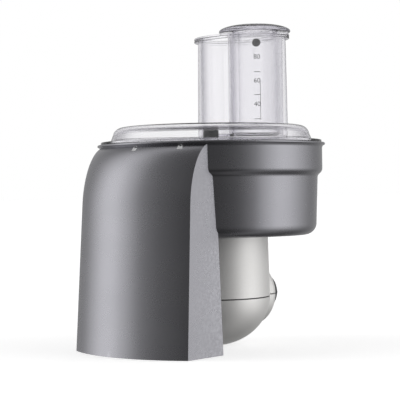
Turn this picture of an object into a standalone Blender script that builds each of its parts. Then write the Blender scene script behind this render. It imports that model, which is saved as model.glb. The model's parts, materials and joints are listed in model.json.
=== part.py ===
"""Slicing and dicing attachment of a kitchen mixer: bowl, chute, lid, pushers, cutting set and gearbox.

The bowl's axis is the vertical Z axis, the chute points to -Y, the drive hub to +Y, and z = 0 is the
surface that the chute's lower edge and the gearbox's foot stand on.
"""

import math

import bmesh
import bpy
from mathutils import Matrix, Vector

# Driving dimensions, in metres.
GAP = 0.0003                 # clearance between neighbouring pieces
ROUND = 40                   # steps round a large turned piece
SMALL_ROUND = 16             # steps round a small turned piece
WALL = 0.003                 # moulded wall of bowl, chute and gearbox housing

RIM_RADIUS = 0.100           # outer edge of the bowl's rim
RIM_TOP = 0.17575
RIM_THICK = 0.0022           # height of the rounded rim
COLLAR_RADIUS = 0.0974       # tall band under the rim
COLLAR_FOOT = 0.151          # where the collar ends and the step begins
STEP_FOOT = 0.147
DRUM_TOP_RADIUS = 0.0932
DRUM_FOOT_RADIUS = 0.0917
DRUM_BOTTOM = 0.0955
DRUM_FILLET = 0.010
WELL_RADIUS = 0.0448         # recess under the bowl that takes the gearbox's neck
WELL_TOP = 0.107
SPINDLE_HOLE = 0.0085
PASSAGE_TOP = 0.1440         # top of the gap in the bowl's wall that leads into the chute

HOOD_FOOT_RADIUS = 0.1245    # chute's outer face, a cone about the bowl's axis with a rounded shoulder
HOOD_SLOPE = 0.0621
HOOD_SHOULDER = 0.124        # height where the shoulder starts to curve in
HOOD_SHOULDER_DEEP = 0.0205   # half axes of the ellipse that the shoulder follows
HOOD_SHOULDER_HIGH = 0.0500
HOOD_TOP = 0.1726            # here the shoulder has come in to the collar
HOOD_HALF_FOOT = 0.0632      # half the distance between the two flat cheeks
HOOD_HALF_TOP = 0.0604
HOOD_BACK_FOOT = 0.0632      # distance of the chute's back wall from the axis
HOOD_BACK_SLOPE = 0.0274
HOOD_STEPS = 12
TAB_REACH = 0.0115           # screw tabs on the chute's back wall
TAB_X = 0.036

LID_BASE_RADIUS = 0.0877
LID_TOP_RADIUS = 0.078
LID_TOP = 0.191
LID_WALL = 0.0022
LID_FLANGE_RADIUS = 0.0970
LID_FLANGE_THICK = 0.0020
SPIGOT_RADIUS = 0.0918
SPIGOT_FOOT = 0.1695

TUBE_Y = 0.0445              # centre of the oval feed tube
TUBE_HALF_X = 0.0445
TUBE_HALF_Y = 0.0305
TUBE_WALL = 0.0025
TUBE_FOOT = 0.1770
TUBE_DRAFT = 0.0012          # how much wider the tube is at its foot
TUBE_TOP = 0.2714
TUBE_FLANGE = 0.0034         # how far the tube's top flange stands out
FLANGE_THICK = 0.0016
SMALL_X = 0.0155             # centre of the round pusher
SMALL_RADIUS = 0.0215
SMALL_WALL = 0.0020
CAP_RADIUS = 0.0320
CAP_EDGE = 0.2762
CAP_TOP = 0.2832

SEAM_Z = 0.042               # split plane of the gearbox housing, and height of the input shaft
SEAM_HALF = 0.0002
HOUSING_RADIUS = 0.0500
HOUSING_TOP_RADIUS = 0.0486
NECK_RADIUS = 0.0410
NECK_TOP = 0.1045
FOOT_RADIUS = 0.0125
BULB_DROP = SEAM_Z / math.sqrt(1 - (FOOT_RADIUS / HOUSING_RADIUS) ** 2)  # depth before the foot is cut flat
BOSS_RADIUS = 0.0300
BOSS_END = 0.0575
BOSS_ROUND = 0.0100          # rounding of the boss's outer end
HUB_RADIUS = 0.0170
HUB_END = 0.0715

SHAFT_RADIUS = 0.0050
SPINDLE_FOOT = 0.0500
SPINDLE_TOP = 0.1790
PINION_TEETH = 16
CROWN_TEETH = 24
CONE_LENGTH = 0.0320         # from the crossing of the two axes to the teeth's outer ends
TOOTH_INNER = 0.72           # the teeth's inner ends, as a share of that length
ADDENDUM_DEG = 3.2
DEDENDUM_DEG = 4.1

HOLDER_FOOT = COLLAR_FOOT + GAP
HOLDER_THICK = 0.0030
HOLDER_RADIUS = 0.0936
GRID_TOP = 0.1630
GRID_HALF_X = 0.0380
GRID_LOW_Y = 0.0190
GRID_HIGH_Y = 0.0760
GRID_PITCH = 0.0120
GRID_BLADE = 0.0010
DISC_FOOT = 0.1653
DISC_THICK = 0.0015
DISC_RADIUS = 0.0880
EJECTOR_FOOT = 0.1004
EJECTOR_DEEP = 0.0065        # depth of the ejector's hub
EJECTOR_REACH = 0.0860
EJECTOR_CLEAR = 0.0012       # clearance between the ejector and the tower inside the bowl
EJECTOR_HUB_RADIUS = 0.0150
EJECTOR_ARMS = 3
ARM_HALF = 0.0015
DISC_HUB_RADIUS = 0.0070
DISC_HUB_FLANGE = 0.0160
DISC_HUB_TOP = 0.1875

BLADE_INNER = 0.0180
BLADE_OUTER = 0.0800
BLADE_START = -0.0020        # the cutting edge, ahead of the disc's radius line
BLADE_LEAD_Z = 0.1750
BLADE_FALL = 0.0026          # from the cutting edge to the back edge
BLADE_CHORD = 0.0140
BLADE_THICK = 0.0008
RIVET_X = (0.026, 0.049, 0.072)
RIVET_Y = 0.0075
RIVET_RADIUS = 0.0014

SCREW_POSTS = ((0, -0.038), (0.0192, 0.0328), (-0.0192, 0.0328))
POST_RADIUS = 0.0045
SCREW_RADIUS = 0.0015
SCREW_HEAD_RADIUS = 0.0033
SCREW_HEAD_HIGH = 0.0027
SCREW_SEAT = 0.0300          # where the screw wells in the lower housing end
PILOT_RADIUS = 0.0013
SCREW_CLEAR = 0.0019         # radius of a hole that a screw passes through
TAB_THICK = 0.0028
TAB_HALF = 0.0060
CHUTE_HEAD_HIGH = 0.0018
BEARING_RADIUS = 0.0125      # boss in the upper housing that holds the spindle's bushes
BEARING_FOOT = 0.0720
BUSH_OUTER = 0.0085
CATCH_FOOT = 0.0962          # bayonet catches in the well, and the lugs on the gearbox's neck above them
CATCH_TOP = 0.1002
LUG_FOOT = 0.1006
LUG_TOP = 0.1034
PLUG_RADIUS = 0.0035
PLUG_Z = 0.2650
PLUG_TURN = 42               # degrees from -Y towards +X
CAP_LIP = 0.0012              # upright part of the cap's edge
CAP_PLUG_DEEP = 0.0065
HUB_FLANGE_RADIUS = 0.0195
HUB_FLANGE_FOOT = 0.0430
PIN_RADIUS = 0.0024
PIN_REACH = 0.0195
PIN_PLACE = 0.0655
SHAFT_END = 0.0825
SQUARE_HALF = 0.0037
GROOVE_DEEP = 0.0006
OVERCUT = 0.0010             # how far a cutter runs past the surface that it opens


def clear_scene():
    for item in list(bpy.data.objects):
        bpy.data.objects.remove(item, do_unlink=True)


def material(name, colour, roughness, metallic=0.0, alpha=1.0):
    made = bpy.data.materials.new(name)
    made.use_nodes = True
    shader = made.node_tree.nodes["Principled BSDF"]
    shader.inputs["Base Color"].default_value = (*colour, 1.0)
    shader.inputs["Roughness"].default_value = roughness
    shader.inputs["Metallic"].default_value = metallic
    shader.inputs["Alpha"].default_value = alpha
    made.diffuse_color = (*colour, alpha)
    return made


def finish(name, mesh_data, paint=None, parent=None):
    """Turn a bmesh into a smooth-shaded object with faces outward."""
    bmesh.ops.recalc_face_normals(mesh_data, faces=mesh_data.faces)
    if mesh_data.calc_volume(signed=True) < 0:
        bmesh.ops.reverse_faces(mesh_data, faces=mesh_data.faces)
    mesh = bpy.data.meshes.new(name)
    mesh_data.to_mesh(mesh)
    mesh_data.free()
    mesh.shade_smooth()
    mesh.set_sharp_from_angle(angle=math.radians(30))
    item = bpy.data.objects.new(name, mesh)
    bpy.context.scene.collection.objects.link(item)
    if paint:
        mesh.materials.append(paint)
    item.parent = parent
    return item


def hide(item):
    """Mark a cutter or a joined solid, which is no piece of its own."""
    item.hide_render = True
    item.display_type = "WIRE"
    return item


def combine(item, operation, others, solver):
    for other in others:
        hide(other)
        other.parent = item.parent
        step = item.modifiers.new(operation.lower(), "BOOLEAN")
        step.operation = operation
        step.solver = solver
        step.object = other
    return item


def cut(item, *cutters, solver="EXACT"):
    return combine(item, "DIFFERENCE", cutters, solver)


def join(item, *others, solver="EXACT"):
    return combine(item, "UNION", others, solver)


def turned(name, outline, paint=None, parent=None, steps=ROUND):
    """Solid of revolution about Z of a closed (radius, height) outline; radius 0 is a pole."""
    made = bmesh.new()
    rings = []
    for radius, height in outline:
        if radius < 1e-7:
            rings.append([made.verts.new((0, 0, height))])
            continue
        ring = []
        for step in range(steps):
            angle = math.tau * step / steps
            ring.append(made.verts.new((radius * math.cos(angle), radius * math.sin(angle), height)))
        rings.append(ring)
    for one, two in zip(rings, rings[1:] + rings[:1]):
        if len(one) == 1 and len(two) == 1:
            continue
        for step in range(steps):
            after = (step + 1) % steps
            corners = [one[step % len(one)], one[after % len(one)], two[after % len(two)], two[step % len(two)]]
            made.faces.new(list(dict.fromkeys(corners)))
    return finish(name, made, paint, parent)


def ring(name, inner, outer, low, high, paint=None, parent=None, steps=SMALL_ROUND):
    return turned(name, [(inner, low), (outer, low), (outer, high), (inner, high)], paint, parent, steps)


def rod(name, radius, low, high, paint=None, parent=None, steps=SMALL_ROUND, at=(0, 0)):
    made = turned(name, [(0, low), (radius, low), (radius, high), (0, high)], paint, parent, steps)
    made.location = (at[0], at[1], 0)
    return made


def loft(name, sections, paint=None, parent=None):
    """Closed solid through equal loops of points, with flat ends."""
    made = bmesh.new()
    loops = [[made.verts.new(point) for point in section] for section in sections]
    count = len(loops[0])
    for one, two in zip(loops, loops[1:]):
        for step in range(count):
            after = (step + 1) % count
            made.faces.new([one[step], one[after], two[after], two[step]])
    made.faces.new(loops[0])
    made.faces.new(loops[-1])
    return finish(name, made, paint, parent)


def block(name, low, high, paint=None, parent=None):
    corners = [(low[0], low[1]), (high[0], low[1]), (high[0], high[1]), (low[0], high[1])]
    return loft(name, [[(x, y, z) for x, y in corners] for z in (low[2], high[2])], paint, parent)


def arc(centre, radius, start, end, steps):
    """Points of a circular arc in an outline, angles in degrees."""
    points = []
    for step in range(steps + 1):
        angle = math.radians(start + (end - start) * step / steps)
        points.append((centre[0] + radius * math.cos(angle), centre[1] + radius * math.sin(angle)))
    return points


def oval(half_x, half_y, centre, height, steps=40):
    points = []
    for step in range(steps):
        angle = math.tau * step / steps
        points.append((centre[0] + half_x * math.cos(angle), centre[1] + half_y * math.sin(angle), height))
    return points


def oval_body(name, rows, paint=None, parent=None):
    """Loft of ovals about the feed tube's axis; each row is (half_x, half_y, height)."""
    sections = [oval(half_x, half_y, (0, TUBE_Y), height) for half_x, half_y, height in rows]
    return loft(name, sections, paint, parent)


def axis_empty(name, location, rotation=(0, 0, 0), parent=None):
    item = bpy.data.objects.new(name, None)
    bpy.context.scene.collection.objects.link(item)
    item.location = location
    item.rotation_euler = rotation
    item.parent = parent
    return item


# Bowl and chute.

def bowl_outside(extra):
    """Outer outline of the drum and collar, bottom to top, moved out by extra."""
    centre = (DRUM_FOOT_RADIUS - DRUM_FILLET, DRUM_BOTTOM + DRUM_FILLET)
    outline = arc(centre, DRUM_FILLET + extra, -90, 0, 5)
    outline.append((DRUM_TOP_RADIUS + extra, STEP_FOOT - extra))
    outline.append((COLLAR_RADIUS + extra, COLLAR_FOOT - extra))
    return outline


def make_bowl(paint):
    roll = RIM_THICK / 2
    outside = bowl_outside(0)
    outside.append((COLLAR_RADIUS, RIM_TOP - RIM_THICK))
    outside += arc((RIM_RADIUS - roll, RIM_TOP - roll), roll, -90, 90, 6)
    inside = [(COLLAR_RADIUS - WALL, RIM_TOP), (COLLAR_RADIUS - WALL, COLLAR_FOOT)]
    inside += [(DRUM_TOP_RADIUS - WALL, COLLAR_FOOT)]
    centre = (DRUM_FOOT_RADIUS - DRUM_FILLET, DRUM_BOTTOM + DRUM_FILLET)
    inside += list(reversed(arc(centre, DRUM_FILLET - WALL, -90, 0, 4)))
    tower = [(WELL_RADIUS + WALL, DRUM_BOTTOM + WALL), (WELL_RADIUS + WALL, WELL_TOP + WALL)]
    tower += [(SPINDLE_HOLE, WELL_TOP + WALL), (SPINDLE_HOLE, WELL_TOP)]
    tower += [(WELL_RADIUS, WELL_TOP), (WELL_RADIUS, DRUM_BOTTOM)]
    bowl = turned("bowl", outside + inside + tower, paint)
    half = HOOD_HALF_TOP - WALL
    passage = block("passage_cutter", (-half, -RIM_RADIUS, DRUM_BOTTOM - OVERCUT),
                    (half, -hood_back(DRUM_BOTTOM) - WALL, PASSAGE_TOP))
    pilots = []
    for side in (-1, 1):
        place = (side * TAB_X, tab_screw_y())
        pilots.append(rod(f"pilot_{side}", PILOT_RADIUS, DRUM_BOTTOM - OVERCUT, DRUM_BOTTOM + 0.0022,
                          at=place, steps=12))
    cut(bowl, passage, *pilots)
    catches = []
    for turn in range(3):
        catches.append(sector(f"catch_{turn}", NECK_RADIUS + 2 * GAP, WELL_RADIUS + OVERCUT,
                              CATCH_FOOT, CATCH_TOP, turn * 120 - 14, turn * 120 + 14))
    return join(bowl, *catches)


def sector(name, inner, outer, low, high, start, end, paint=None, parent=None, steps=5):
    """Slice of a ring between two angles in degrees."""
    edge = arc((0, 0), outer, start, end, steps) + list(reversed(arc((0, 0), inner, start, end, steps)))
    return loft(name, [[(x, y, height) for x, y in edge] for height in (low, high)], paint, parent)


def hood_radius(height):
    rise = max(0.0, height - HOOD_SHOULDER) / HOOD_SHOULDER_HIGH
    return HOOD_FOOT_RADIUS - HOOD_SLOPE * height - HOOD_SHOULDER_DEEP * (1 - math.sqrt(1 - rise ** 2))


def hood_half(height):
    return HOOD_HALF_FOOT + (HOOD_HALF_TOP - HOOD_HALF_FOOT) * height / RIM_TOP


def hood_back(height):
    return HOOD_BACK_FOOT + HOOD_BACK_SLOPE * height


def hood_section(height, inset):
    """Outline of the chute at one height: a curved front between two flat cheeks and a flat back."""
    radius = hood_radius(height) - inset
    half = hood_half(height) - inset
    back = hood_back(height) + inset
    swing = math.asin(half / radius)
    points = []
    for step in range(HOOD_STEPS + 1):
        angle = -swing + 2 * swing * step / HOOD_STEPS
        points.append((radius * math.sin(angle), -radius * math.cos(angle), height))
    points.append((half, -back, height))
    points.append((-half, -back, height))
    return points


def tab_screw_y():
    return -hood_back(DRUM_BOTTOM) + TAB_REACH / 2


def make_chute(paint):
    heights = [0, 0.05, 0.1, HOOD_SHOULDER, 0.136, 0.147, 0.156, 0.163, 0.168, 0.171, HOOD_TOP]
    hood = loft("chute_hood", [hood_section(height, 0) for height in heights], paint)
    tab_top = DRUM_BOTTOM - GAP
    back = -hood_back(DRUM_BOTTOM)
    tabs = []
    for side in (-1, 1):
        tabs.append(block(f"tab_{side}", (side * TAB_X - TAB_HALF, back - WALL / 2, tab_top - TAB_THICK),
                          (side * TAB_X + TAB_HALF, back + TAB_REACH, tab_top)))
    join(hood, *tabs)
    inner_top = HOOD_TOP - WALL
    inner_heights = [-OVERCUT] + [height for height in heights[1:] if height < inner_top]
    inner_heights.append(inner_top)
    hollow = loft("hood_hollow", [hood_section(height, WALL) for height in inner_heights])
    drum = bowl_outside(GAP) + [(COLLAR_RADIUS + GAP, LID_TOP), (0, LID_TOP), (0, tab_top)]
    body = turned("hood_drum_cutter", drum)
    holes = []
    for side in (-1, 1):
        place = (side * TAB_X, tab_screw_y())
        holes.append(rod(f"tab_hole_{side}", SCREW_CLEAR, tab_top - TAB_THICK - OVERCUT,
                         tab_top + OVERCUT, at=place))
    return cut(hood, hollow, body, *holes)


def make_chute_screws(paint):
    head_top = DRUM_BOTTOM - TAB_THICK - 2 * GAP
    head_foot = head_top - CHUTE_HEAD_HIGH
    shank_top = DRUM_BOTTOM - 2 * GAP
    outline = [(0, head_foot), (SCREW_HEAD_RADIUS, head_foot), (SCREW_HEAD_RADIUS, head_top)]
    outline += [(SCREW_RADIUS, head_top), (SCREW_RADIUS, shank_top), (0, shank_top)]
    for number, side in enumerate((-1, 1), start=1):
        screw = turned(f"chute_screw_{number}", outline, paint, steps=SMALL_ROUND)
        screw.location = (side * TAB_X, tab_screw_y(), 0)


# Lid, pushers and their seal.

def make_lid(paint, parent):
    flange_foot = RIM_TOP + GAP
    flange_top = flange_foot + LID_FLANGE_THICK
    shoulder = 0.0085
    outside = [(SPIGOT_RADIUS, SPIGOT_FOOT), (SPIGOT_RADIUS, flange_foot), (LID_FLANGE_RADIUS, flange_foot)]
    outside += [(LID_FLANGE_RADIUS, flange_top), (LID_BASE_RADIUS + 0.001, flange_top)]
    outside += arc((LID_TOP_RADIUS, LID_TOP - shoulder), shoulder, 10, 90, 6)
    outside += [(0, LID_TOP + 0.0004), (0, LID_TOP - LID_WALL)]
    inside = arc((LID_TOP_RADIUS, LID_TOP - shoulder), shoulder - LID_WALL, 90, 10, 5)
    inside += [(LID_BASE_RADIUS - LID_WALL + 0.001, flange_foot), (SPIGOT_RADIUS - 0.0018, flange_foot - 0.003)]
    inside += [(SPIGOT_RADIUS - 0.0018, SPIGOT_FOOT)]
    lid = turned("lid", outside + inside, paint, parent)
    tube = oval_body("feed_tube", [(TUBE_HALF_X + TUBE_DRAFT, TUBE_HALF_Y + TUBE_DRAFT, TUBE_FOOT),
                                   (TUBE_HALF_X, TUBE_HALF_Y, TUBE_TOP)])
    lip_x = TUBE_HALF_X + TUBE_FLANGE
    lip_y = TUBE_HALF_Y + TUBE_FLANGE
    lip = oval_body("feed_lip", [(lip_x, lip_y, TUBE_TOP - FLANGE_THICK), (lip_x, lip_y, TUBE_TOP + 0.0002)])
    join(lid, tube, lip, solver="MANIFOLD")
    bore_x = TUBE_HALF_X - TUBE_WALL
    bore_y = TUBE_HALF_Y - TUBE_WALL
    bore = oval_body("feed_bore", [(bore_x, bore_y, TUBE_FOOT - 0.002), (bore_x, bore_y, TUBE_TOP + 0.002)])
    return cut(lid, bore, solver="MANIFOLD")


def make_large_pusher(paint, parent):
    half_x = TUBE_HALF_X - TUBE_WALL - 0.0005
    half_y = TUBE_HALF_Y - TUBE_WALL - 0.0005
    foot = TUBE_FOOT + 0.0013
    flange_foot = TUBE_TOP + 0.0002 + GAP
    top = flange_foot + FLANGE_THICK
    pusher = oval_body("large_pusher", [(half_x, half_y, foot), (half_x, half_y, top)], paint, parent)
    lip_x = TUBE_HALF_X + TUBE_FLANGE
    lip_y = TUBE_HALF_Y + TUBE_FLANGE
    lip = oval_body("pusher_lip", [(lip_x, lip_y, flange_foot), (lip_x, lip_y, top + 0.0001)])
    join(pusher, lip)
    thin = 0.0018
    hollow = oval_body("pusher_hollow", [(half_x - thin, half_y - thin, foot + 0.0022),
                                         (half_x - thin, half_y - thin, top + 0.002)])
    place = (SMALL_X, TUBE_Y)
    inner = SMALL_RADIUS + 0.0004
    sleeve = rod("pusher_sleeve", inner + 0.0016, foot, top + 0.004, steps=32, at=place)
    cut(hollow, sleeve)
    bore = rod("pusher_bore", inner, foot - OVERCUT, top + 0.003, steps=32, at=place)
    return cut(pusher, hollow, bore)


def make_small_pusher(paint, parent):
    foot = TUBE_FOOT + 0.0013
    top = CAP_EDGE - 0.0003
    inner = SMALL_RADIUS - SMALL_WALL
    outline = [(0, foot), (SMALL_RADIUS - 0.0015, foot), (SMALL_RADIUS, foot + 0.0015), (SMALL_RADIUS, top)]
    outline += [(inner, top), (inner, foot + 0.0035), (inner - 0.0015, foot + 0.0022), (0, foot + 0.0022)]
    pusher = turned("small_pusher", outline, paint, parent, steps=32)
    pusher.location = (SMALL_X, TUBE_Y, 0)
    hole_start = SMALL_RADIUS - 2 * SMALL_WALL
    return cut(pusher, plug_shape("plug_hole", PLUG_RADIUS + GAP, hole_start, SMALL_RADIUS + OVERCUT))


def plug_shape(name, radius, inner, outer, paint=None, parent=None):
    """Short round plug across the small pusher's wall, on its side towards the lid's locked mark."""
    made = turned(name, [(0, inner), (radius, inner), (radius, outer), (0, outer)], paint, parent, SMALL_ROUND)
    made.rotation_euler = (math.radians(90), 0, math.radians(PLUG_TURN))
    made.location = (SMALL_X, TUBE_Y, PLUG_Z)
    return made


def make_pusher_plug(paint, parent):
    inner = SMALL_RADIUS - SMALL_WALL - 0.001
    return plug_shape("pusher_plug", PLUG_RADIUS, inner, SMALL_RADIUS - 0.0004, paint, parent)


def make_pusher_cap(paint, parent):
    rise = CAP_TOP - CAP_EDGE - CAP_LIP
    top = []
    for step in range(7):
        share = 1 - (step / 6) ** 2
        top.append((CAP_RADIUS * share, CAP_TOP - rise + rise * (1 - share ** 2.6) ** 0.6))
    outline = [(CAP_RADIUS - 0.0010, CAP_EDGE - 0.0009), (CAP_RADIUS, CAP_EDGE + 0.0003)] + top
    under = CAP_EDGE + GAP
    plug = SMALL_RADIUS - SMALL_WALL - GAP
    plug_foot = CAP_EDGE - CAP_PLUG_DEEP
    outline += [(0, CAP_TOP - 0.0022), (plug - 0.0018, under + 0.0008), (plug - 0.0018, plug_foot)]
    outline += [(plug, plug_foot), (plug, under), (CAP_RADIUS - 0.0035, under)]
    cap = turned("pusher_cap", outline, paint, parent, steps=24)
    cap.location = (SMALL_X, TUBE_Y, 0)
    return cap


# Cutting set.

def make_grid_holder(paint):
    wall = 0.0025
    top = HOLDER_FOOT + HOLDER_THICK
    holder = ring("grid_holder", 0.0090, HOLDER_RADIUS, HOLDER_FOOT, top, paint, steps=ROUND)
    frame = block("grid_frame", (-GRID_HALF_X - wall, GRID_LOW_Y - wall, HOLDER_FOOT + 0.0005),
                  (GRID_HALF_X + wall, GRID_HIGH_Y + wall, GRID_TOP))
    join(holder, frame)
    window = block("grid_window", (-GRID_HALF_X, GRID_LOW_Y, HOLDER_FOOT - 0.001),
                   (GRID_HALF_X, GRID_HIGH_Y, GRID_TOP + 0.001))
    return cut(holder, window)


def make_dicing_grid(paint):
    low = GRID_TOP - 0.0085
    rim = 0.0012
    half_x = GRID_HALF_X - GAP
    low_y = GRID_LOW_Y + GAP
    high_y = GRID_HIGH_Y - GAP
    grid = block("dicing_grid", (-half_x, low_y, low), (half_x, high_y, GRID_TOP), paint)
    columns = round(2 * half_x / GRID_PITCH)
    rows = round((high_y - low_y) / GRID_PITCH)
    step_x = (2 * half_x - 2 * rim + GRID_BLADE) / columns
    step_y = (high_y - low_y - 2 * rim + GRID_BLADE) / rows
    made = bmesh.new()
    for column in range(columns):
        for row in range(rows):
            x = -half_x + rim + column * step_x
            y = low_y + rim + row * step_y
            size = Vector((step_x - GRID_BLADE, step_y - GRID_BLADE, 0.02))
            centre = Vector((x, y, low - 0.005)) + size / 2
            bmesh.ops.create_cube(made, size=1, matrix=Matrix.Translation(centre) @ Matrix.Diagonal((*size, 1)))
    return cut(grid, finish("grid_cells", made))


def make_ejector(paint, parent):
    over = WELL_TOP + WALL + EJECTOR_CLEAR
    top = over + EJECTOR_DEEP
    ejector = ring("ejector", SHAFT_RADIUS + GAP, EJECTOR_HUB_RADIUS, over, top, paint, parent)
    start = EJECTOR_HUB_RADIUS - 0.002
    inner = WELL_RADIUS + WALL + EJECTOR_CLEAR
    corner = 0.006
    profile = [(start, over), (inner, over), (inner, EJECTOR_FOOT), (EJECTOR_REACH - corner, EJECTOR_FOOT)]
    profile += [(EJECTOR_REACH, EJECTOR_FOOT + corner), (EJECTOR_REACH, top), (start, top)]
    arms = []
    for turn in range(EJECTOR_ARMS):
        made = loft(f"ejector_arm_{turn}", [[(x, y, z) for x, z in profile] for y in (-ARM_HALF, ARM_HALF)])
        made.rotation_euler = (0, 0, math.tau * turn / EJECTOR_ARMS + math.radians(90))
        arms.append(made)
    return join(ejector, *arms)


def make_disc_hub(paint, parent):
    bore = SHAFT_RADIUS + GAP
    sleeve = 0.0080
    sleeve_foot = 0.1565
    flange_foot = GRID_TOP + 0.0005
    outline = [(bore, sleeve_foot), (sleeve, sleeve_foot), (sleeve, flange_foot)]
    outline += [(DISC_HUB_FLANGE, flange_foot), (DISC_HUB_FLANGE, DISC_FOOT - GAP)]
    outline += [(DISC_HUB_RADIUS, DISC_FOOT - GAP), (DISC_HUB_RADIUS - 0.0003, DISC_HUB_TOP - 0.0020)]
    outline.append((DISC_HUB_RADIUS - 0.002, DISC_HUB_TOP - 0.0003))
    outline += [(0, DISC_HUB_TOP), (0, SPINDLE_TOP + GAP), (bore, SPINDLE_TOP + GAP)]
    return turned("disc_hub", outline, paint, parent, steps=20)


def make_disc_plate(paint, parent):
    top = DISC_FOOT + DISC_THICK
    plate = ring("disc_plate", DISC_HUB_RADIUS + GAP, DISC_RADIUS, DISC_FOOT, top, paint, parent, steps=ROUND)
    slot = block("disc_slot", (BLADE_INNER, -0.0150, DISC_FOOT - OVERCUT), (BLADE_OUTER, 0.0005, top + OVERCUT))
    return cut(plate, slot)


def make_blade_bridge(paint, parent):
    """Wedge on the disc that carries the blade and slopes down behind it."""
    low = DISC_FOOT + DISC_THICK + GAP
    front = 0.0015
    crest = 0.0130
    tail = 0.0340
    fall = BLADE_FALL / BLADE_CHORD
    lead = BLADE_LEAD_Z - GAP + BLADE_START * fall
    profile = [(front, low), (tail, low), (tail, low + 2 * GAP), (crest, lead - crest * fall)]
    profile.append((front, lead - front * fall))
    outer = BLADE_OUTER - 0.002
    return loft("blade_bridge", [[(x, y, z) for y, z in profile] for x in (BLADE_INNER, outer)], paint, parent)


def make_blade(paint, parent):
    trail = BLADE_LEAD_Z - BLADE_FALL
    back = BLADE_START + BLADE_CHORD
    profile = [(BLADE_START, BLADE_LEAD_Z), (back, trail), (back, trail + BLADE_THICK)]
    profile += [(BLADE_START + 0.0025, BLADE_LEAD_Z + BLADE_THICK / 2)]
    ends = [[(x, y, z) for y, z in profile] for x in (BLADE_INNER, BLADE_OUTER)]
    blade = loft("slicing_blade", ends, paint, parent)
    holes = []
    for x in RIVET_X:
        holes.append(rod(f"rivet_hole_{x}", RIVET_RADIUS + 0.0004, DISC_FOOT, LID_TOP,
                         at=(x, RIVET_Y), steps=12))
    return cut(blade, *holes)


def make_rivets(paint, parent):
    low = BLADE_LEAD_Z - BLADE_FALL / 2
    top = BLADE_LEAD_Z + BLADE_THICK - 0.0001
    for number, x in enumerate(RIVET_X, start=1):
        rod(f"blade_rivet_{number}", RIVET_RADIUS, low, top, paint, parent, steps=12, at=(x, RIVET_Y))


# Gearbox.

def boss(name, radius, end, rounding=0):
    """Horizontal round boss towards +Y at the seam's height, with a rounded end."""
    outline = [(0, 0), (radius, 0)]
    outline += arc((radius - rounding, end - rounding), rounding, 0, 90, 5) if rounding else [(radius, end)]
    made = turned(name, outline + [(0, end)], steps=32)
    made.rotation_euler = (math.radians(-90), 0, 0)
    made.location = (0, 0, SEAM_Z)
    return made


def make_housing_upper(paint, parent):
    seam = SEAM_Z + SEAM_HALF + GAP
    low = 0.0
    neck_foot = DRUM_BOTTOM - GAP
    outline = [(0, low), (HOUSING_RADIUS, low), (HOUSING_RADIUS, SEAM_Z)]
    outline += [(HOUSING_TOP_RADIUS + 0.0002, neck_foot - 0.0008)]
    outline += [(HOUSING_TOP_RADIUS - 0.0006, neck_foot), (NECK_RADIUS, neck_foot)]
    outline += [(NECK_RADIUS, NECK_TOP - 0.001), (NECK_RADIUS - 0.001, NECK_TOP), (0, NECK_TOP)]
    housing = turned("housing_upper", outline, paint, parent)
    lugs = []
    for turn in range(3):
        lugs.append(sector(f"lug_{turn}", NECK_RADIUS - OVERCUT, WELL_RADIUS - 2 * GAP, LUG_FOOT, LUG_TOP,
                           turn * 120 - 12, turn * 120 + 12))
    join(housing, boss("upper_boss", BOSS_RADIUS, BOSS_END, BOSS_ROUND), *lugs, solver="MANIFOLD")
    inside = [(0, low + 0.005), (HOUSING_RADIUS - WALL, low + 0.005), (HOUSING_RADIUS - WALL, SEAM_Z)]
    inside += [(HOUSING_TOP_RADIUS - WALL, 0.0900), (NECK_RADIUS - WALL, 0.0930)]
    inside += [(NECK_RADIUS - WALL, NECK_TOP - WALL), (BEARING_RADIUS, NECK_TOP - WALL)]
    inside += [(BEARING_RADIUS, BEARING_FOOT), (0, BEARING_FOOT)]
    hollow = turned("upper_hollow", inside)
    bore = boss("upper_boss_bore", BOSS_RADIUS - WALL, BOSS_END - WALL, BOSS_ROUND - WALL)
    join(hollow, bore, solver="MANIFOLD")
    posts = []
    for place, at in enumerate(SCREW_POSTS):
        posts.append(rod(f"upper_post_{place}", POST_RADIUS, low, 0.066, at=at))
        fin_end = Vector(at).normalized() * (HOUSING_RADIUS - WALL / 2)
        posts.append(loft(f"upper_fin_{place}", fin_loops(Vector(at), fin_end, low + 0.001, 0.065)))
    cut(hollow, *posts, solver="MANIFOLD")
    hub_hole = boss("upper_hub_hole", HUB_RADIUS + GAP, BOSS_END + OVERCUT)
    spindle_bore = rod("spindle_bore", BUSH_OUTER, BEARING_FOOT - OVERCUT, NECK_TOP + OVERCUT)
    pilots = []
    for place, at in enumerate(SCREW_POSTS):
        pilots.append(rod(f"upper_pilot_{place}", PILOT_RADIUS, low - OVERCUT, 0.056, at=at, steps=12))
    wide = BOSS_END + 0.008
    below = block("upper_trim", (-wide, -wide, low - 0.01), (wide, wide, seam))
    return cut(housing, hollow, hub_hole, spindle_bore, *pilots, below, solver="MANIFOLD")


def fin_loops(start, end, low, high):
    """Upright rib from a screw post to the housing wall."""
    along = (end - start).normalized()
    side = Vector((-along.y, along.x)) * 0.0012
    corners = [start + side, start - side, end - side, end + side]
    return [[(corner.x, corner.y, height) for corner in corners] for height in (low, high)]


def bulb(radius, drop, foot, top):
    """Outline of the lower housing: a half ellipsoid with a flat foot, carried straight up past the seam."""
    points = []
    first = math.acos((SEAM_Z - foot) / drop)
    for step in range(9):
        angle = first + (math.pi / 2 - first) * step / 8
        points.append((radius * math.sin(angle), SEAM_Z - drop * math.cos(angle)))
    return [(0, foot)] + points + [(radius, top), (0, top)]


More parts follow.
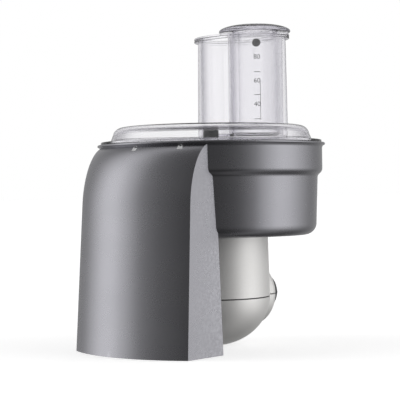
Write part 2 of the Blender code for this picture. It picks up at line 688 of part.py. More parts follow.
def make_housing_lower(paint, parent):
    seam = SEAM_Z - SEAM_HALF - GAP
    housing = turned("housing_lower", bulb(HOUSING_RADIUS, BULB_DROP, 0, 0.080), paint, parent)
    join(housing, boss("lower_boss", BOSS_RADIUS, BOSS_END, BOSS_ROUND), solver="MANIFOLD")
    hollow = turned("lower_hollow", bulb(HOUSING_RADIUS - WALL, BULB_DROP - WALL, 0.0035, 0.075))
    bore = boss("lower_boss_bore", BOSS_RADIUS - WALL, BOSS_END - WALL, BOSS_ROUND - WALL)
    join(hollow, bore, solver="MANIFOLD")
    hub_hole = boss("lower_hub_hole", HUB_RADIUS + GAP, BOSS_END + OVERCUT)
    posts = []
    wells = []
    holes = []
    for place, at in enumerate(SCREW_POSTS):
        posts.append(rod(f"lower_post_{place}", POST_RADIUS + 0.001, 0, 0.078, at=at))
        wells.append(rod(f"screw_well_{place}", SCREW_HEAD_RADIUS + GAP, -OVERCUT, SCREW_SEAT, at=at))
        holes.append(rod(f"screw_hole_{place}", SCREW_CLEAR, SCREW_SEAT - OVERCUT, 0.082, at=at, steps=12))
    cut(hollow, *posts, solver="MANIFOLD")
    wide = BOSS_END + 0.008
    above = block("lower_trim", (-wide, -wide, seam), (wide, wide, 0.090))
    return cut(housing, hollow, hub_hole, *wells, *holes, above, solver="MANIFOLD")


def make_gasket(paint, parent):
    gasket = ring("housing_gasket", HOUSING_RADIUS - 0.0026, HOUSING_RADIUS - 0.0006, SEAM_Z - SEAM_HALF,
                  SEAM_Z + SEAM_HALF, paint, parent, steps=ROUND)
    gap = block("gasket_gap", (-BOSS_RADIUS, 0.02, 0.03), (BOSS_RADIUS, 0.06, 0.06))
    return cut(gasket, gap)


def make_housing_screws(paint, parent):
    seat = SCREW_SEAT - GAP
    head_foot = seat - SCREW_HEAD_HIGH
    tip = 0.0010
    outline = [(0, head_foot), (SCREW_HEAD_RADIUS, head_foot), (SCREW_HEAD_RADIUS, seat), (SCREW_RADIUS, seat)]
    outline += [(SCREW_RADIUS, SEAM_Z - 0.001), (tip, SEAM_Z + 0.002), (tip, 0.0550), (0, 0.0550)]
    for number, at in enumerate(SCREW_POSTS, start=1):
        screw = turned(f"housing_screw_{number}", outline, paint, parent, steps=SMALL_ROUND)
        screw.location = (at[0], at[1], 0)


def make_drive_hub(paint, parent):
    """Flanged spigot that plugs into the mixer, with two bayonet pins; built about its own axis."""
    inner_end = 0.0345
    face = BOSS_END - WALL - GAP
    sleeve = BEARING_RADIUS - 0.0005
    outline = [(BUSH_OUTER, inner_end), (sleeve, inner_end), (sleeve, HUB_FLANGE_FOOT)]
    outline += [(HUB_FLANGE_RADIUS, HUB_FLANGE_FOOT), (HUB_FLANGE_RADIUS, face), (HUB_RADIUS, face)]
    outline += [(HUB_RADIUS, HUB_END - 0.001), (HUB_RADIUS - 0.001, HUB_END), (BUSH_OUTER, HUB_END)]
    hub = turned("drive_hub", outline, paint, parent, steps=24)
    pins = []
    for side in (-1, 1):
        pin = rod(f"bayonet_pin_{side}", PIN_RADIUS, HUB_RADIUS - 0.002, PIN_REACH)
        pin.rotation_euler = (0, math.radians(90 * side), 0)
        pin.location = (0, 0, PIN_PLACE)
        pins.append(pin)
    return join(hub, *pins)


def make_input_shaft(paint, parent):
    shaft = rod("input_shaft", SHAFT_RADIUS, 0.0150, HUB_END - 0.0012, paint, parent)
    tail = block("square_tail", (-SQUARE_HALF, -SQUARE_HALF, HUB_END - 0.006),
                 (SQUARE_HALF, SQUARE_HALF, SHAFT_END))
    groove = ring("shaft_groove", SHAFT_RADIUS - GROOVE_DEEP, SHAFT_RADIUS + OVERCUT, 0.0172, 0.0182)
    join(shaft, tail)
    return cut(shaft, groove)


def bevel_gear(name, teeth, axial, cone_deg, tooth_offset, hub_radius, hub_length, paint, parent):
    """Straight bevel gear whose cone's point is its own origin, with its hub away from that point."""
    pitch = math.tau / teeth
    root = axial * math.tan(math.radians(cone_deg - DEDENDUM_DEG))
    tip = axial * math.tan(math.radians(cone_deg + ADDENDUM_DEG))
    marks = [(root, -0.27), (tip, -0.13), (tip, 0.13), (root, 0.27)]
    outer = []
    for tooth in range(teeth):
        for radius, share in marks:
            angle = (tooth + tooth_offset + share) * pitch
            outer.append(Vector((radius * math.cos(angle), radius * math.sin(angle), axial)))
    inner = [point * TOOTH_INNER for point in outer]
    gear = loft(name, [inner, outer], paint, parent)
    hub = rod(f"{name}_hub", hub_radius, axial - 0.002, axial + hub_length)
    join(gear, hub)
    return cut(gear, rod(f"{name}_bore", SHAFT_RADIUS + GAP, 0, axial + hub_length + 0.01))


def make_spindle(paint, parent):
    spindle = rod("spindle", SHAFT_RADIUS, SPINDLE_FOOT, SPINDLE_TOP, paint, parent)
    groove = ring("spindle_groove", SHAFT_RADIUS - GROOVE_DEEP, SHAFT_RADIUS + OVERCUT, 0.0514, 0.0524)
    return cut(spindle, groove)


def circlip(name, low, paint, parent):
    clip = ring(name, SHAFT_RADIUS - 0.0003, SHAFT_RADIUS + 0.0022, low, low + 0.0006, paint, parent)
    return cut(clip, block(f"{name}_mouth", (-0.0018, 0, low - 0.001), (0.0018, 0.01, low + 0.002)))


def build():
    clear_scene()
    grey = material("graphite_plastic", (0.13, 0.13, 0.14), 0.35, 0.3)
    silver = material("silver_plastic", (0.62, 0.61, 0.59), 0.35, 0.4)
    clear = material("clear_plastic", (0.92, 0.94, 0.95), 0.05, 0.0, 0.3)
    rubber = material("black_rubber", (0.03, 0.03, 0.03), 0.8)
    black = material("black_plastic", (0.05, 0.05, 0.055), 0.5)
    steel = material("steel", (0.65, 0.65, 0.66), 0.25, 1.0)
    gear_steel = material("gear_steel", (0.42, 0.42, 0.43), 0.4, 1.0)
    bronze = material("bronze", (0.60, 0.42, 0.22), 0.4, 1.0)

    make_bowl(grey)
    make_chute(grey)
    make_chute_screws(steel)
    make_grid_holder(black)
    make_dicing_grid(steel)

    lid_axis = axis_empty("lid_axis", (0, 0, 0))
    ring("lid_seal", SPIGOT_RADIUS + 2 * GAP, COLLAR_RADIUS - WALL - GAP, 0.1700, 0.1740,
         rubber, lid_axis, ROUND)
    make_lid(clear, lid_axis)
    make_large_pusher(clear, lid_axis)
    make_small_pusher(clear, lid_axis)
    make_pusher_cap(clear, lid_axis)
    make_pusher_plug(black, lid_axis)

    gearbox = axis_empty("gearbox_axis", (0, 0, 0))
    make_housing_upper(silver, gearbox)
    make_housing_lower(silver, gearbox)
    make_gasket(rubber, gearbox)
    make_housing_screws(steel, gearbox)
    bush_outer = BUSH_OUTER - GAP
    bush_inner = SHAFT_RADIUS + GAP
    ring("spindle_bush_lower", bush_inner, bush_outer, 0.0725, 0.0825, bronze, gearbox)
    ring("spindle_bush_upper", bush_inner, bush_outer, 0.0905, 0.1005, bronze, gearbox)
    ring("spindle_seal", bush_inner, bush_outer, 0.1010, 0.1040, rubber, gearbox)

    input_axis = axis_empty("input_axis", (0, 0, SEAM_Z), (math.radians(-90), 0, 0), gearbox)
    make_drive_hub(black, input_axis)
    ring("hub_bush_inner", bush_inner, bush_outer, 0.0350, 0.0430, bronze, input_axis)
    ring("hub_bush_outer", bush_inner, bush_outer, 0.0575, 0.0655, bronze, input_axis)
    ring("hub_seal", bush_inner, bush_outer, 0.0660, 0.0690, rubber, input_axis)
    make_input_shaft(steel, input_axis)
    pinion_cone = math.degrees(math.atan2(PINION_TEETH, CROWN_TEETH))
    pinion_axial = CONE_LENGTH * math.cos(math.radians(pinion_cone))
    crown_axial = CONE_LENGTH * math.sin(math.radians(pinion_cone))
    bevel_gear("input_pinion", PINION_TEETH, pinion_axial, pinion_cone, 0, 0.0090, 0.0050,
               gear_steel, input_axis)
    ring("shaft_washer", bush_inner, 0.0080, 0.0322, 0.0337, steel, input_axis)
    circlip("shaft_circlip", 0.0174, steel, input_axis)

    spin_axis = axis_empty("spin_axis", (0, 0, 0), parent=gearbox)
    crown_axis = axis_empty("crown_axis", (0, 0, SEAM_Z), parent=spin_axis)
    make_spindle(steel, spin_axis)
    bevel_gear("crown_gear", CROWN_TEETH, crown_axial, 90 - pinion_cone, 0.5, 0.0120, 0.0085,
               gear_steel, crown_axis)
    ring("spindle_washer", bush_inner, 0.0080, 0.0700, 0.0712, steel, spin_axis)
    circlip("spindle_circlip", 0.0516, steel, spin_axis)
    make_ejector(black, spin_axis)
    make_disc_hub(black, spin_axis)
    make_disc_plate(steel, spin_axis)
    make_blade_bridge(black, spin_axis)
    make_blade(steel, spin_axis)
    make_rivets(steel, spin_axis)


build()
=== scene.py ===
"""Looks of the slicing and dicing attachment: smooth shells, printed marks, materials, light and camera."""
import json
import math

import bmesh
import bpy
from mathutils import Matrix, Vector


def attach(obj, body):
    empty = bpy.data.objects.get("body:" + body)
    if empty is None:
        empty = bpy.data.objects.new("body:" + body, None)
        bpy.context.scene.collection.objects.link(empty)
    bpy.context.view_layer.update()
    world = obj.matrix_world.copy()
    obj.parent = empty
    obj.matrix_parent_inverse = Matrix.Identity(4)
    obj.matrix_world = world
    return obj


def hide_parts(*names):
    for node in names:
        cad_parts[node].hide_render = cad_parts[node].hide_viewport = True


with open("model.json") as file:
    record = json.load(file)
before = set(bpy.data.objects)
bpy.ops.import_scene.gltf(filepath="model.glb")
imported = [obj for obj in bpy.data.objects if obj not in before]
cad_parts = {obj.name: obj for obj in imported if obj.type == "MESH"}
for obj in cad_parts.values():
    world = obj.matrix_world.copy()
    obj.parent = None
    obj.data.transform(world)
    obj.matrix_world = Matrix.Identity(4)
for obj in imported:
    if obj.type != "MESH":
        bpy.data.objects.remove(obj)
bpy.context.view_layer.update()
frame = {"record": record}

# Dimensions in metres, the same as the frame's.
GAP = 0.0003  # clearance between neighbouring pieces
ROUND = 160  # steps round a large turned piece
SMALL_ROUND = 48  # steps round a small turned piece
WALL = 0.003  # moulded wall of bowl, chute and gearbox housing

RIM_RADIUS = 0.1  # outer edge of the bowl's rim
RIM_TOP = 0.17575
RIM_THICK = 0.0022  # height of the rounded rim
COLLAR_RADIUS = 0.0974  # tall band under the rim
COLLAR_FOOT = 0.151  # where the collar ends and the step begins
STEP_FOOT = 0.147
DRUM_TOP_RADIUS = 0.0932
DRUM_FOOT_RADIUS = 0.0917
DRUM_BOTTOM = 0.0955
DRUM_FILLET = 0.01
WELL_RADIUS = 0.0448  # recess under the bowl that takes the gearbox's neck
WELL_TOP = 0.107
SPINDLE_HOLE = 0.0085
PASSAGE_TOP = 0.144  # top of the gap in the bowl's wall that leads into the chute

HOOD_FOOT_RADIUS = 0.1245  # chute's outer face, a cone about the bowl's axis with a rounded shoulder
HOOD_SLOPE = 0.0621
HOOD_SHOULDER = 0.124  # height where the shoulder starts to curve in
HOOD_SHOULDER_DEEP = 0.0205  # half axes of the ellipse that the shoulder follows
HOOD_SHOULDER_HIGH = 0.05
HOOD_TOP = 0.1726  # here the shoulder has come in to the collar
HOOD_HALF_FOOT = 0.0632  # half the distance between the two flat cheeks
HOOD_HALF_TOP = 0.0604
HOOD_BACK_FOOT = 0.0632  # distance of the chute's back wall from the axis
HOOD_BACK_SLOPE = 0.0274
HOOD_STEPS = 72
TAB_REACH = 0.0115  # screw tabs on the chute's back wall
TAB_X = 0.036

LID_BASE_RADIUS = 0.0877
LID_TOP_RADIUS = 0.078
LID_TOP = 0.191
LID_WALL = 0.0022
LID_FLANGE_RADIUS = 0.097
LID_FLANGE_THICK = 0.002
SPIGOT_RADIUS = 0.0918
SPIGOT_FOOT = 0.1695

TUBE_Y = 0.0445  # centre of the oval feed tube
TUBE_HALF_X = 0.0445
TUBE_HALF_Y = 0.0305
TUBE_WALL = 0.0025
TUBE_FOOT = 0.177
TUBE_DRAFT = 0.0012  # how much wider the tube is at its foot
TUBE_TOP = 0.2714
TUBE_FLANGE = 0.0034  # how far the tube's top flange stands out
FLANGE_THICK = 0.0016
SMALL_X = 0.0155  # centre of the round pusher
SMALL_RADIUS = 0.0215
SMALL_WALL = 0.002
CAP_RADIUS = 0.032
CAP_EDGE = 0.2762
CAP_TOP = 0.2832

SEAM_Z = 0.042  # split plane of the gearbox housing, and height of the input shaft
SEAM_HALF = 0.0002
HOUSING_RADIUS = 0.05
HOUSING_TOP_RADIUS = 0.0486
NECK_RADIUS = 0.041
NECK_TOP = 0.1045
FOOT_RADIUS = 0.0125
BULB_DROP = SEAM_Z / math.sqrt(1 - (FOOT_RADIUS / HOUSING_RADIUS) ** 2)  # depth before the foot is cut flat
BOSS_RADIUS = 0.03
BOSS_END = 0.0575
BOSS_ROUND = 0.01  # rounding of the boss's outer end
HUB_RADIUS = 0.017
HUB_END = 0.0715

SHAFT_RADIUS = 0.005
SPINDLE_FOOT = 0.05
SPINDLE_TOP = 0.179
PINION_TEETH = 16
CROWN_TEETH = 24
CONE_LENGTH = 0.032  # from the crossing of the two axes to the teeth's outer ends
TOOTH_INNER = 0.72  # the teeth's inner ends, as a share of that length
ADDENDUM_DEG = 3.2
DEDENDUM_DEG = 4.1

HOLDER_FOOT = COLLAR_FOOT + GAP
HOLDER_THICK = 0.003
HOLDER_RADIUS = 0.0936
GRID_TOP = 0.163
GRID_HALF_X = 0.038
GRID_LOW_Y = 0.019
GRID_HIGH_Y = 0.076
GRID_PITCH = 0.012
GRID_BLADE = 0.001
DISC_FOOT = 0.1653
DISC_THICK = 0.0015
DISC_RADIUS = 0.088
EJECTOR_FOOT = 0.1004
EJECTOR_DEEP = 0.0065  # depth of the ejector's hub
EJECTOR_REACH = 0.086
EJECTOR_CLEAR = 0.0012  # clearance between the ejector and the tower inside the bowl
EJECTOR_HUB_RADIUS = 0.015
EJECTOR_ARMS = 3
ARM_HALF = 0.0015
DISC_HUB_RADIUS = 0.007
DISC_HUB_FLANGE = 0.016
DISC_HUB_TOP = 0.1875

BLADE_INNER = 0.018
BLADE_OUTER = 0.08
BLADE_START = -0.002  # the cutting edge, ahead of the disc's radius line
BLADE_LEAD_Z = 0.175
BLADE_FALL = 0.0026  # from the cutting edge to the back edge
BLADE_CHORD = 0.014
BLADE_THICK = 0.0008
RIVET_X = (0.026, 0.049, 0.072)
RIVET_Y = 0.0075
RIVET_RADIUS = 0.0014

SCREW_POSTS = ((0, -0.038), (0.0192, 0.0328), (-0.0192, 0.0328))
POST_RADIUS = 0.0045
SCREW_RADIUS = 0.0015
SCREW_HEAD_RADIUS = 0.0033
SCREW_HEAD_HIGH = 0.0027
SCREW_SEAT = 0.03  # where the screw wells in the lower housing end
PILOT_RADIUS = 0.0013
SCREW_CLEAR = 0.0019  # radius of a hole that a screw passes through
TAB_THICK = 0.0028
TAB_HALF = 0.006
CHUTE_HEAD_HIGH = 0.0018
BEARING_RADIUS = 0.0125  # boss in the upper housing that holds the spindle's bushes
BEARING_FOOT = 0.072
BUSH_OUTER = 0.0085
CATCH_FOOT = 0.0962  # bayonet catches in the well, and the lugs on the gearbox's neck above them
CATCH_TOP = 0.1002
LUG_FOOT = 0.1006
LUG_TOP = 0.1034
PLUG_RADIUS = 0.0035
PLUG_Z = 0.265
PLUG_TURN = 42  # degrees from -Y towards +X
CAP_LIP = 0.0012  # upright part of the cap's edge
CAP_PLUG_DEEP = 0.0065
HUB_FLANGE_RADIUS = 0.0195
HUB_FLANGE_FOOT = 0.043
PIN_RADIUS = 0.0024
PIN_REACH = 0.0195
PIN_PLACE = 0.0655
SHAFT_END = 0.0825
SQUARE_HALF = 0.0037
GROOVE_DEEP = 0.0006
LIP_TOP = TUBE_TOP + 0.0002  # top face of the feed tube's flange
PUSHER_LIFT = 0.0013  # how far the pushers' feet stay above the tube's foot
TRIM = BOSS_END + 0.008  # half width of the blocks that part the housings at the seam
WASHER_RADIUS = 0.008
LID_SHOULDER = 0.0085  # radius of the lid's rounded upper edge
SPIGOT_WALL = 0.0018
PILOT_DEEP = 0.0022
SLOT_START = -0.015  # slot in the disc under the blade
SLOT_END = 0.0005
SCREW_END = 0.055
HOUSING_INNER = 0.005  # lower end of the upper housing's hollow, below the trimmed seam
PUSHER_WALL = 0.0018
PUSHER_FLOOR = 0.0022
SLEEVE_WALL = 0.0016  # sleeve in the large pusher, and the play of the small one in it
SLEEVE_PLAY = 0.0004
OVERCUT = 0.001  # how far a cutter runs past the surface that it opens
SOFT = 0.0005  # how far the rounding of an edge reaches
SOFT_STEPS = 4
SOFT_ANGLE = math.radians(24)
OVAL_STEPS = 144

MADE = []


def finish(name, mesh_data):
    """Turn a bmesh into an object with faces outward, and note the frame's node that it stands for."""
    bmesh.ops.remove_doubles(mesh_data, verts=mesh_data.verts, dist=1e-7)
    bmesh.ops.recalc_face_normals(mesh_data, faces=mesh_data.faces)
    if mesh_data.calc_volume(signed=True) < 0:
        bmesh.ops.reverse_faces(mesh_data, faces=mesh_data.faces)
    item = to_object(name, mesh_data)
    MADE.append((name, item))
    return item


def to_object(name, mesh_data):
    mesh = bpy.data.meshes.new(name)
    mesh_data.to_mesh(mesh)
    mesh_data.free()
    item = bpy.data.objects.new(name, mesh)
    bpy.context.scene.collection.objects.link(item)
    return item


def combine(item, operation, others):
    """Cut away or join other solids, which are no pieces of their own."""
    for other in others:
        step = item.modifiers.new(operation.lower(), "BOOLEAN")
        step.operation = operation
        step.solver = "MANIFOLD"
        step.object = other
    return item


def cut(item, *cutters):
    return combine(item, "DIFFERENCE", cutters)


def join(item, *others):
    return combine(item, "UNION", others)


def soften(outline):
    """Round the corners of a closed outline; a corner may carry its own reach as a third number."""
    result = []
    for index, corner in enumerate(outline):
        here = Vector(corner[:2])
        before = Vector(outline[index - 1][:2]) - here
        after = Vector(outline[(index + 1) % len(outline)][:2]) - here
        short = corner[0] < 1e-7 or min(before.length, after.length) < 1e-6
        if short or math.pi - before.angle(after) < SOFT_ANGLE:
            result.append(corner[:2])
            continue
        reach = min(corner[2] if len(corner) > 2 else SOFT, 0.4 * before.length, 0.4 * after.length)
        start = here + before.normalized() * reach
        end = here + after.normalized() * reach
        for step in range(SOFT_STEPS + 1):
            share = step / SOFT_STEPS
            result.append(tuple(start.lerp(here, share).lerp(here.lerp(end, share), share)))
    return result


def turned(name, outline, steps=ROUND):
    """Solid of revolution about Z of a closed (radius, height) outline; radius 0 is a pole."""
    made = bmesh.new()
    rings = []
    for radius, height in soften(outline):
        if radius < 1e-7:
            rings.append([made.verts.new((0, 0, height))])
            continue
        ring = []
        for step in range(steps):
            angle = math.tau * step / steps
            ring.append(made.verts.new((radius * math.cos(angle), radius * math.sin(angle), height)))
        rings.append(ring)
    for one, two in zip(rings, rings[1:] + rings[:1]):
        if len(one) == 1 and len(two) == 1:
            continue
        for step in range(steps):
            after = (step + 1) % steps
            corners = [loop[index % len(loop)] for loop, index in ((one, step), (one, after), (two, after),
                                                                   (two, step))]
            made.faces.new(list(dict.fromkeys(corners)))
    return finish(name, made)


def ring(name, inner, outer, low, high, steps=SMALL_ROUND):
    return turned(name, [(inner, low), (outer, low), (outer, high), (inner, high)], steps)


def rod(name, radius, low, high, steps=SMALL_ROUND, at=(0, 0)):
    made = turned(name, [(0, low), (radius, low), (radius, high), (0, high)], steps)
    made.location = (at[0], at[1], 0)
    return made


def loft(name, sections):
    """Closed solid through equal loops of points, with flat ends."""
    made = bmesh.new()
    loops = [[made.verts.new(point) for point in section] for section in sections]
    count = len(loops[0])
    for one, two in zip(loops, loops[1:]):
        for step in range(count):
            after = (step + 1) % count
            made.faces.new([one[step], one[after], two[after], two[step]])
    made.faces.new(loops[0])
    made.faces.new(loops[-1])
    return finish(name, made)


def round_edges(item, width, segments=3):
    step = item.modifiers.new("edges", "BEVEL")
    step.width = width
    step.segments = segments
    step.limit_method = "ANGLE"
    step.angle_limit = math.radians(35)
    return item


def block(name, low, high):
    corners = [(low[0], low[1]), (high[0], low[1]), (high[0], high[1]), (low[0], high[1])]
    return loft(name, [[(x, y, z) for x, y in corners] for z in (low[2], high[2])])


def arc(centre, radius, start, end, steps):
    """Points of a circular arc in an outline, angles in degrees."""
    points = []
    for step in range(steps + 1):
        angle = math.radians(start + (end - start) * step / steps)
        points.append((centre[0] + radius * math.cos(angle), centre[1] + radius * math.sin(angle)))
    return points


def oval(out, height):
    """Points round the feed tube's outer face, moved outward."""
    angles = [math.tau * step / OVAL_STEPS for step in range(OVAL_STEPS)]
    return [((TUBE_HALF_X + out) * math.cos(angle), TUBE_Y + (TUBE_HALF_Y + out) * math.sin(angle), height)
            for angle in angles]


def oval_body(name, foot_out, foot, top_out, top):
    """Oval solid about the feed tube's axis; its foot and top stand out from the tube's outer face."""
    reach = min(SOFT, (top - foot) * 0.4)
    angles = [math.pi / 2 * step / SOFT_STEPS for step in range(SOFT_STEPS + 1)]
    sections = [oval(foot_out - reach * (1 - math.sin(angle)), foot + reach * (1 - math.cos(angle)))
                for angle in angles]
    sections += [oval(top_out - reach * (1 - math.cos(angle)), top - reach * (1 - math.sin(angle)))
                 for angle in angles]
    return loft(name, sections)


# Bowl and chute.

def bowl_outside(extra):
    """Outer outline of the drum and collar, bottom to top, moved out by extra."""
    centre = (DRUM_FOOT_RADIUS - DRUM_FILLET, DRUM_BOTTOM + DRUM_FILLET)
    outline = arc(centre, DRUM_FILLET + extra, -90, 0, 16)
    outline.append((DRUM_TOP_RADIUS + extra, STEP_FOOT - extra, 0.0016))
    outline.append((COLLAR_RADIUS + extra, COLLAR_FOOT - extra, 0.0023))
    return outline


def make_bowl():
    roll = RIM_THICK / 2
    rim_foot = RIM_TOP - RIM_THICK
    corner = (DRUM_FOOT_RADIUS - DRUM_FILLET, DRUM_BOTTOM + DRUM_FILLET)
    outline = bowl_outside(0)
    outline += [(COLLAR_RADIUS, rim_foot - 0.0018, 0.0008), (RIM_RADIUS - roll - 0.0003, rim_foot, 0.0006),
                *arc((RIM_RADIUS - roll, RIM_TOP - roll), roll, -90, 90, 12),
                (COLLAR_RADIUS - WALL, RIM_TOP), (COLLAR_RADIUS - WALL, COLLAR_FOOT),
                (DRUM_TOP_RADIUS - WALL, COLLAR_FOOT), *reversed(arc(corner, DRUM_FILLET - WALL, -90, 0, 12)),
                (WELL_RADIUS + WALL, DRUM_BOTTOM + WALL), (WELL_RADIUS + WALL, WELL_TOP + WALL),
                (SPINDLE_HOLE, WELL_TOP + WALL), (SPINDLE_HOLE, WELL_TOP),
                (WELL_RADIUS, WELL_TOP), (WELL_RADIUS, DRUM_BOTTOM)]
    bowl = turned("bowl", outline)
    half = HOOD_HALF_TOP - WALL
    passage = block("passage", (-half, -RIM_RADIUS, DRUM_BOTTOM - OVERCUT),
                    (half, -hood_back(DRUM_BOTTOM) - WALL, PASSAGE_TOP))
    pilots = [rod("pilot", PILOT_RADIUS, DRUM_BOTTOM - OVERCUT, DRUM_BOTTOM + PILOT_DEEP, 32, at)
              for at in TAB_SCREWS]
    cut(bowl, passage, *pilots)
    return join(bowl, *three_lugs(NECK_RADIUS + 2 * GAP, WELL_RADIUS + OVERCUT, CATCH_FOOT, CATCH_TOP, 14))


def three_lugs(inner, outer, low, high, half):
    """Three equal slices of a ring, each reaching half degrees to both sides of its middle."""
    lugs = []
    for middle in (0, 120, 240):
        start, end = middle - half, middle + half
        edge = arc((0, 0), outer, start, end, 16) + list(reversed(arc((0, 0), inner, start, end, 16)))
        lugs.append(loft("lug", [[(x, y, height) for x, y in edge] for height in (low, high)]))
    return lugs


def hood_radius(height):
    rise = max(0.0, height - HOOD_SHOULDER) / HOOD_SHOULDER_HIGH
    return HOOD_FOOT_RADIUS - HOOD_SLOPE * height - HOOD_SHOULDER_DEEP * (1 - math.sqrt(1 - rise ** 2))


def hood_half(height):
    return HOOD_HALF_FOOT + (HOOD_HALF_TOP - HOOD_HALF_FOOT) * height / RIM_TOP


def hood_back(height):
    return HOOD_BACK_FOOT + HOOD_BACK_SLOPE * height


def hood_section(height, inset):
    """Outline of the chute at one height: a curved front between two flat cheeks and a flat back."""
    radius = hood_radius(height) - inset
    half = hood_half(height) - inset
    back = hood_back(height) + inset
    swing = math.asin(half / radius)
    points = []
    for step in range(HOOD_STEPS + 1):
        angle = -swing + 2 * swing * step / HOOD_STEPS
        points.append((radius * math.sin(angle), -radius * math.cos(angle), height))
    points.append((half, -back, height))
    points.append((-half, -back, height))
    return points


TAB_SCREWS = [(side * TAB_X, TAB_REACH / 2 - hood_back(DRUM_BOTTOM)) for side in (-1, 1)]


def make_chute():
    heights = [HOOD_SHOULDER * step / 16 for step in range(16)]
    rise = HOOD_TOP - HOOD_SHOULDER
    heights += [HOOD_SHOULDER + rise * math.sin(math.pi / 2 * step / 28) for step in range(29)]
    hood = round_edges(loft("chute_hood", [hood_section(height, 0) for height in heights]), 0.0014)
    tab_top = DRUM_BOTTOM - GAP
    tab_foot = tab_top - TAB_THICK
    back = -hood_back(DRUM_BOTTOM)
    for x in (-TAB_X, TAB_X):
        join(hood, block("tab", (x - TAB_HALF, back - WALL / 2, tab_foot),
                         (x + TAB_HALF, back + TAB_REACH, tab_top)))
    inner_top = HOOD_TOP - WALL
    inner_heights = [-OVERCUT, *[height for height in heights[1:] if height < inner_top], inner_top]
    hollow = loft("hood_hollow", [hood_section(height, WALL) for height in inner_heights])
    body = turned("drum", [*bowl_outside(GAP), (COLLAR_RADIUS + GAP, LID_TOP), (0, LID_TOP), (0, tab_top)])
    holes = [rod("hole", SCREW_CLEAR, tab_foot - OVERCUT, tab_top + OVERCUT, at=at) for at in TAB_SCREWS]
    return cut(hood, hollow, body, *holes)


def make_chute_screws():
    head_top = DRUM_BOTTOM - TAB_THICK - 2 * GAP
    head_foot = head_top - CHUTE_HEAD_HIGH
    shank_top = DRUM_BOTTOM - 2 * GAP
    outline = [(0, head_foot), (SCREW_HEAD_RADIUS, head_foot), (SCREW_HEAD_RADIUS, head_top),
               (SCREW_RADIUS, head_top), (SCREW_RADIUS, shank_top), (0, shank_top)]
    for number, at in enumerate(TAB_SCREWS, start=1):
        turned(f"chute_screw_{number}", outline, SMALL_ROUND).location = (*at, 0)


# Lid, pushers and their seal.

def make_lid():
    flange_foot = RIM_TOP + GAP
    flange_top = flange_foot + LID_FLANGE_THICK
    corner = (LID_TOP_RADIUS, LID_TOP - LID_SHOULDER)
    spigot_inner = SPIGOT_RADIUS - SPIGOT_WALL
    lid = turned("lid", [
        (SPIGOT_RADIUS, SPIGOT_FOOT), (SPIGOT_RADIUS, flange_foot), (LID_FLANGE_RADIUS, flange_foot),
        (LID_FLANGE_RADIUS, flange_top), (LID_BASE_RADIUS + 0.001, flange_top),
        *arc(corner, LID_SHOULDER, 10, 90, 24), (0, LID_TOP + 0.0004),
        (0, LID_TOP - LID_WALL), *arc(corner, LID_SHOULDER - LID_WALL, 90, 10, 24),
        (LID_BASE_RADIUS - LID_WALL + 0.001, flange_foot), (spigot_inner, flange_foot - 0.003),
        (spigot_inner, SPIGOT_FOOT)])
    tube = oval_body("feed_tube", TUBE_DRAFT, TUBE_FOOT, 0, TUBE_TOP)
    lip = oval_body("feed_lip", TUBE_FLANGE, TUBE_TOP - FLANGE_THICK, TUBE_FLANGE, LIP_TOP)
    join(lid, tube, lip)
    return cut(lid, oval_body("feed_bore", -TUBE_WALL, TUBE_FOOT - 0.002, -TUBE_WALL, TUBE_TOP + 0.002))


def make_large_pusher():
    side = -TUBE_WALL - 0.0005
    inside = side - PUSHER_WALL
    foot = TUBE_FOOT + PUSHER_LIFT
    flange_foot = LIP_TOP + GAP
    top = flange_foot + FLANGE_THICK
    pusher = oval_body("large_pusher", side, foot, side, top)
    join(pusher, oval_body("pusher_lip", TUBE_FLANGE, flange_foot, TUBE_FLANGE, top + 0.0001))
    hollow = oval_body("pusher_hollow", inside, foot + PUSHER_FLOOR, inside, top + 0.002)
    place = (SMALL_X, TUBE_Y)
    inner = SMALL_RADIUS + SLEEVE_PLAY
    cut(hollow, rod("sleeve", inner + SLEEVE_WALL, foot, top + 0.004, 128, place))
    return cut(pusher, hollow, rod("bore", inner, foot - OVERCUT, top + 0.003, 128, place))


def make_small_pusher():
    foot = TUBE_FOOT + PUSHER_LIFT
    floor = foot + PUSHER_FLOOR
    top = CAP_EDGE - 0.0003
    inner = SMALL_RADIUS - SMALL_WALL
    pusher = turned("small_pusher", [
        (0, foot), (SMALL_RADIUS - 0.0015, foot), (SMALL_RADIUS, foot + 0.0015), (SMALL_RADIUS, top),
        (inner, top), (inner, foot + 0.0035), (inner - 0.0015, floor), (0, floor)], 128)
    pusher.location = (SMALL_X, TUBE_Y, 0)
    return cut(pusher, plug_shape("plug_hole", PLUG_RADIUS + GAP, inner - SMALL_WALL, SMALL_RADIUS + OVERCUT))


def plug_shape(name, radius, inner, outer):
    """Short round plug across the small pusher's wall, on its side towards the lid's locked mark."""
    made = turned(name, [(0, inner), (radius, inner), (radius, outer), (0, outer)], SMALL_ROUND)
    made.rotation_euler = (math.radians(90), 0, math.radians(PLUG_TURN))
    made.location = (SMALL_X, TUBE_Y, PLUG_Z)
    return made


def make_pusher_plug():
    return plug_shape("pusher_plug", PLUG_RADIUS, SMALL_RADIUS - SMALL_WALL - 0.001, SMALL_RADIUS - 0.0004)


def make_pusher_cap():
    rise = CAP_TOP - CAP_EDGE - CAP_LIP
    outline = [(CAP_RADIUS - 0.001, CAP_EDGE - 0.0009), (CAP_RADIUS, CAP_EDGE + 0.0003)]
    for step in range(41):
        share = 1 - (step / 40) ** 2
        outline.append((CAP_RADIUS * share, CAP_TOP - rise + rise * (1 - share ** 2.6) ** 0.6))
    under = CAP_EDGE + GAP
    plug = SMALL_RADIUS - SMALL_WALL - GAP
    plug_foot = CAP_EDGE - CAP_PLUG_DEEP
    outline += [(0, CAP_TOP - 0.0022), (plug - 0.0018, under + 0.0008), (plug - 0.0018, plug_foot),
                (plug, plug_foot), (plug, under), (CAP_RADIUS - 0.0035, under)]
    cap = turned("pusher_cap", outline, 96)
    cap.location = (SMALL_X, TUBE_Y, 0)
    return cap


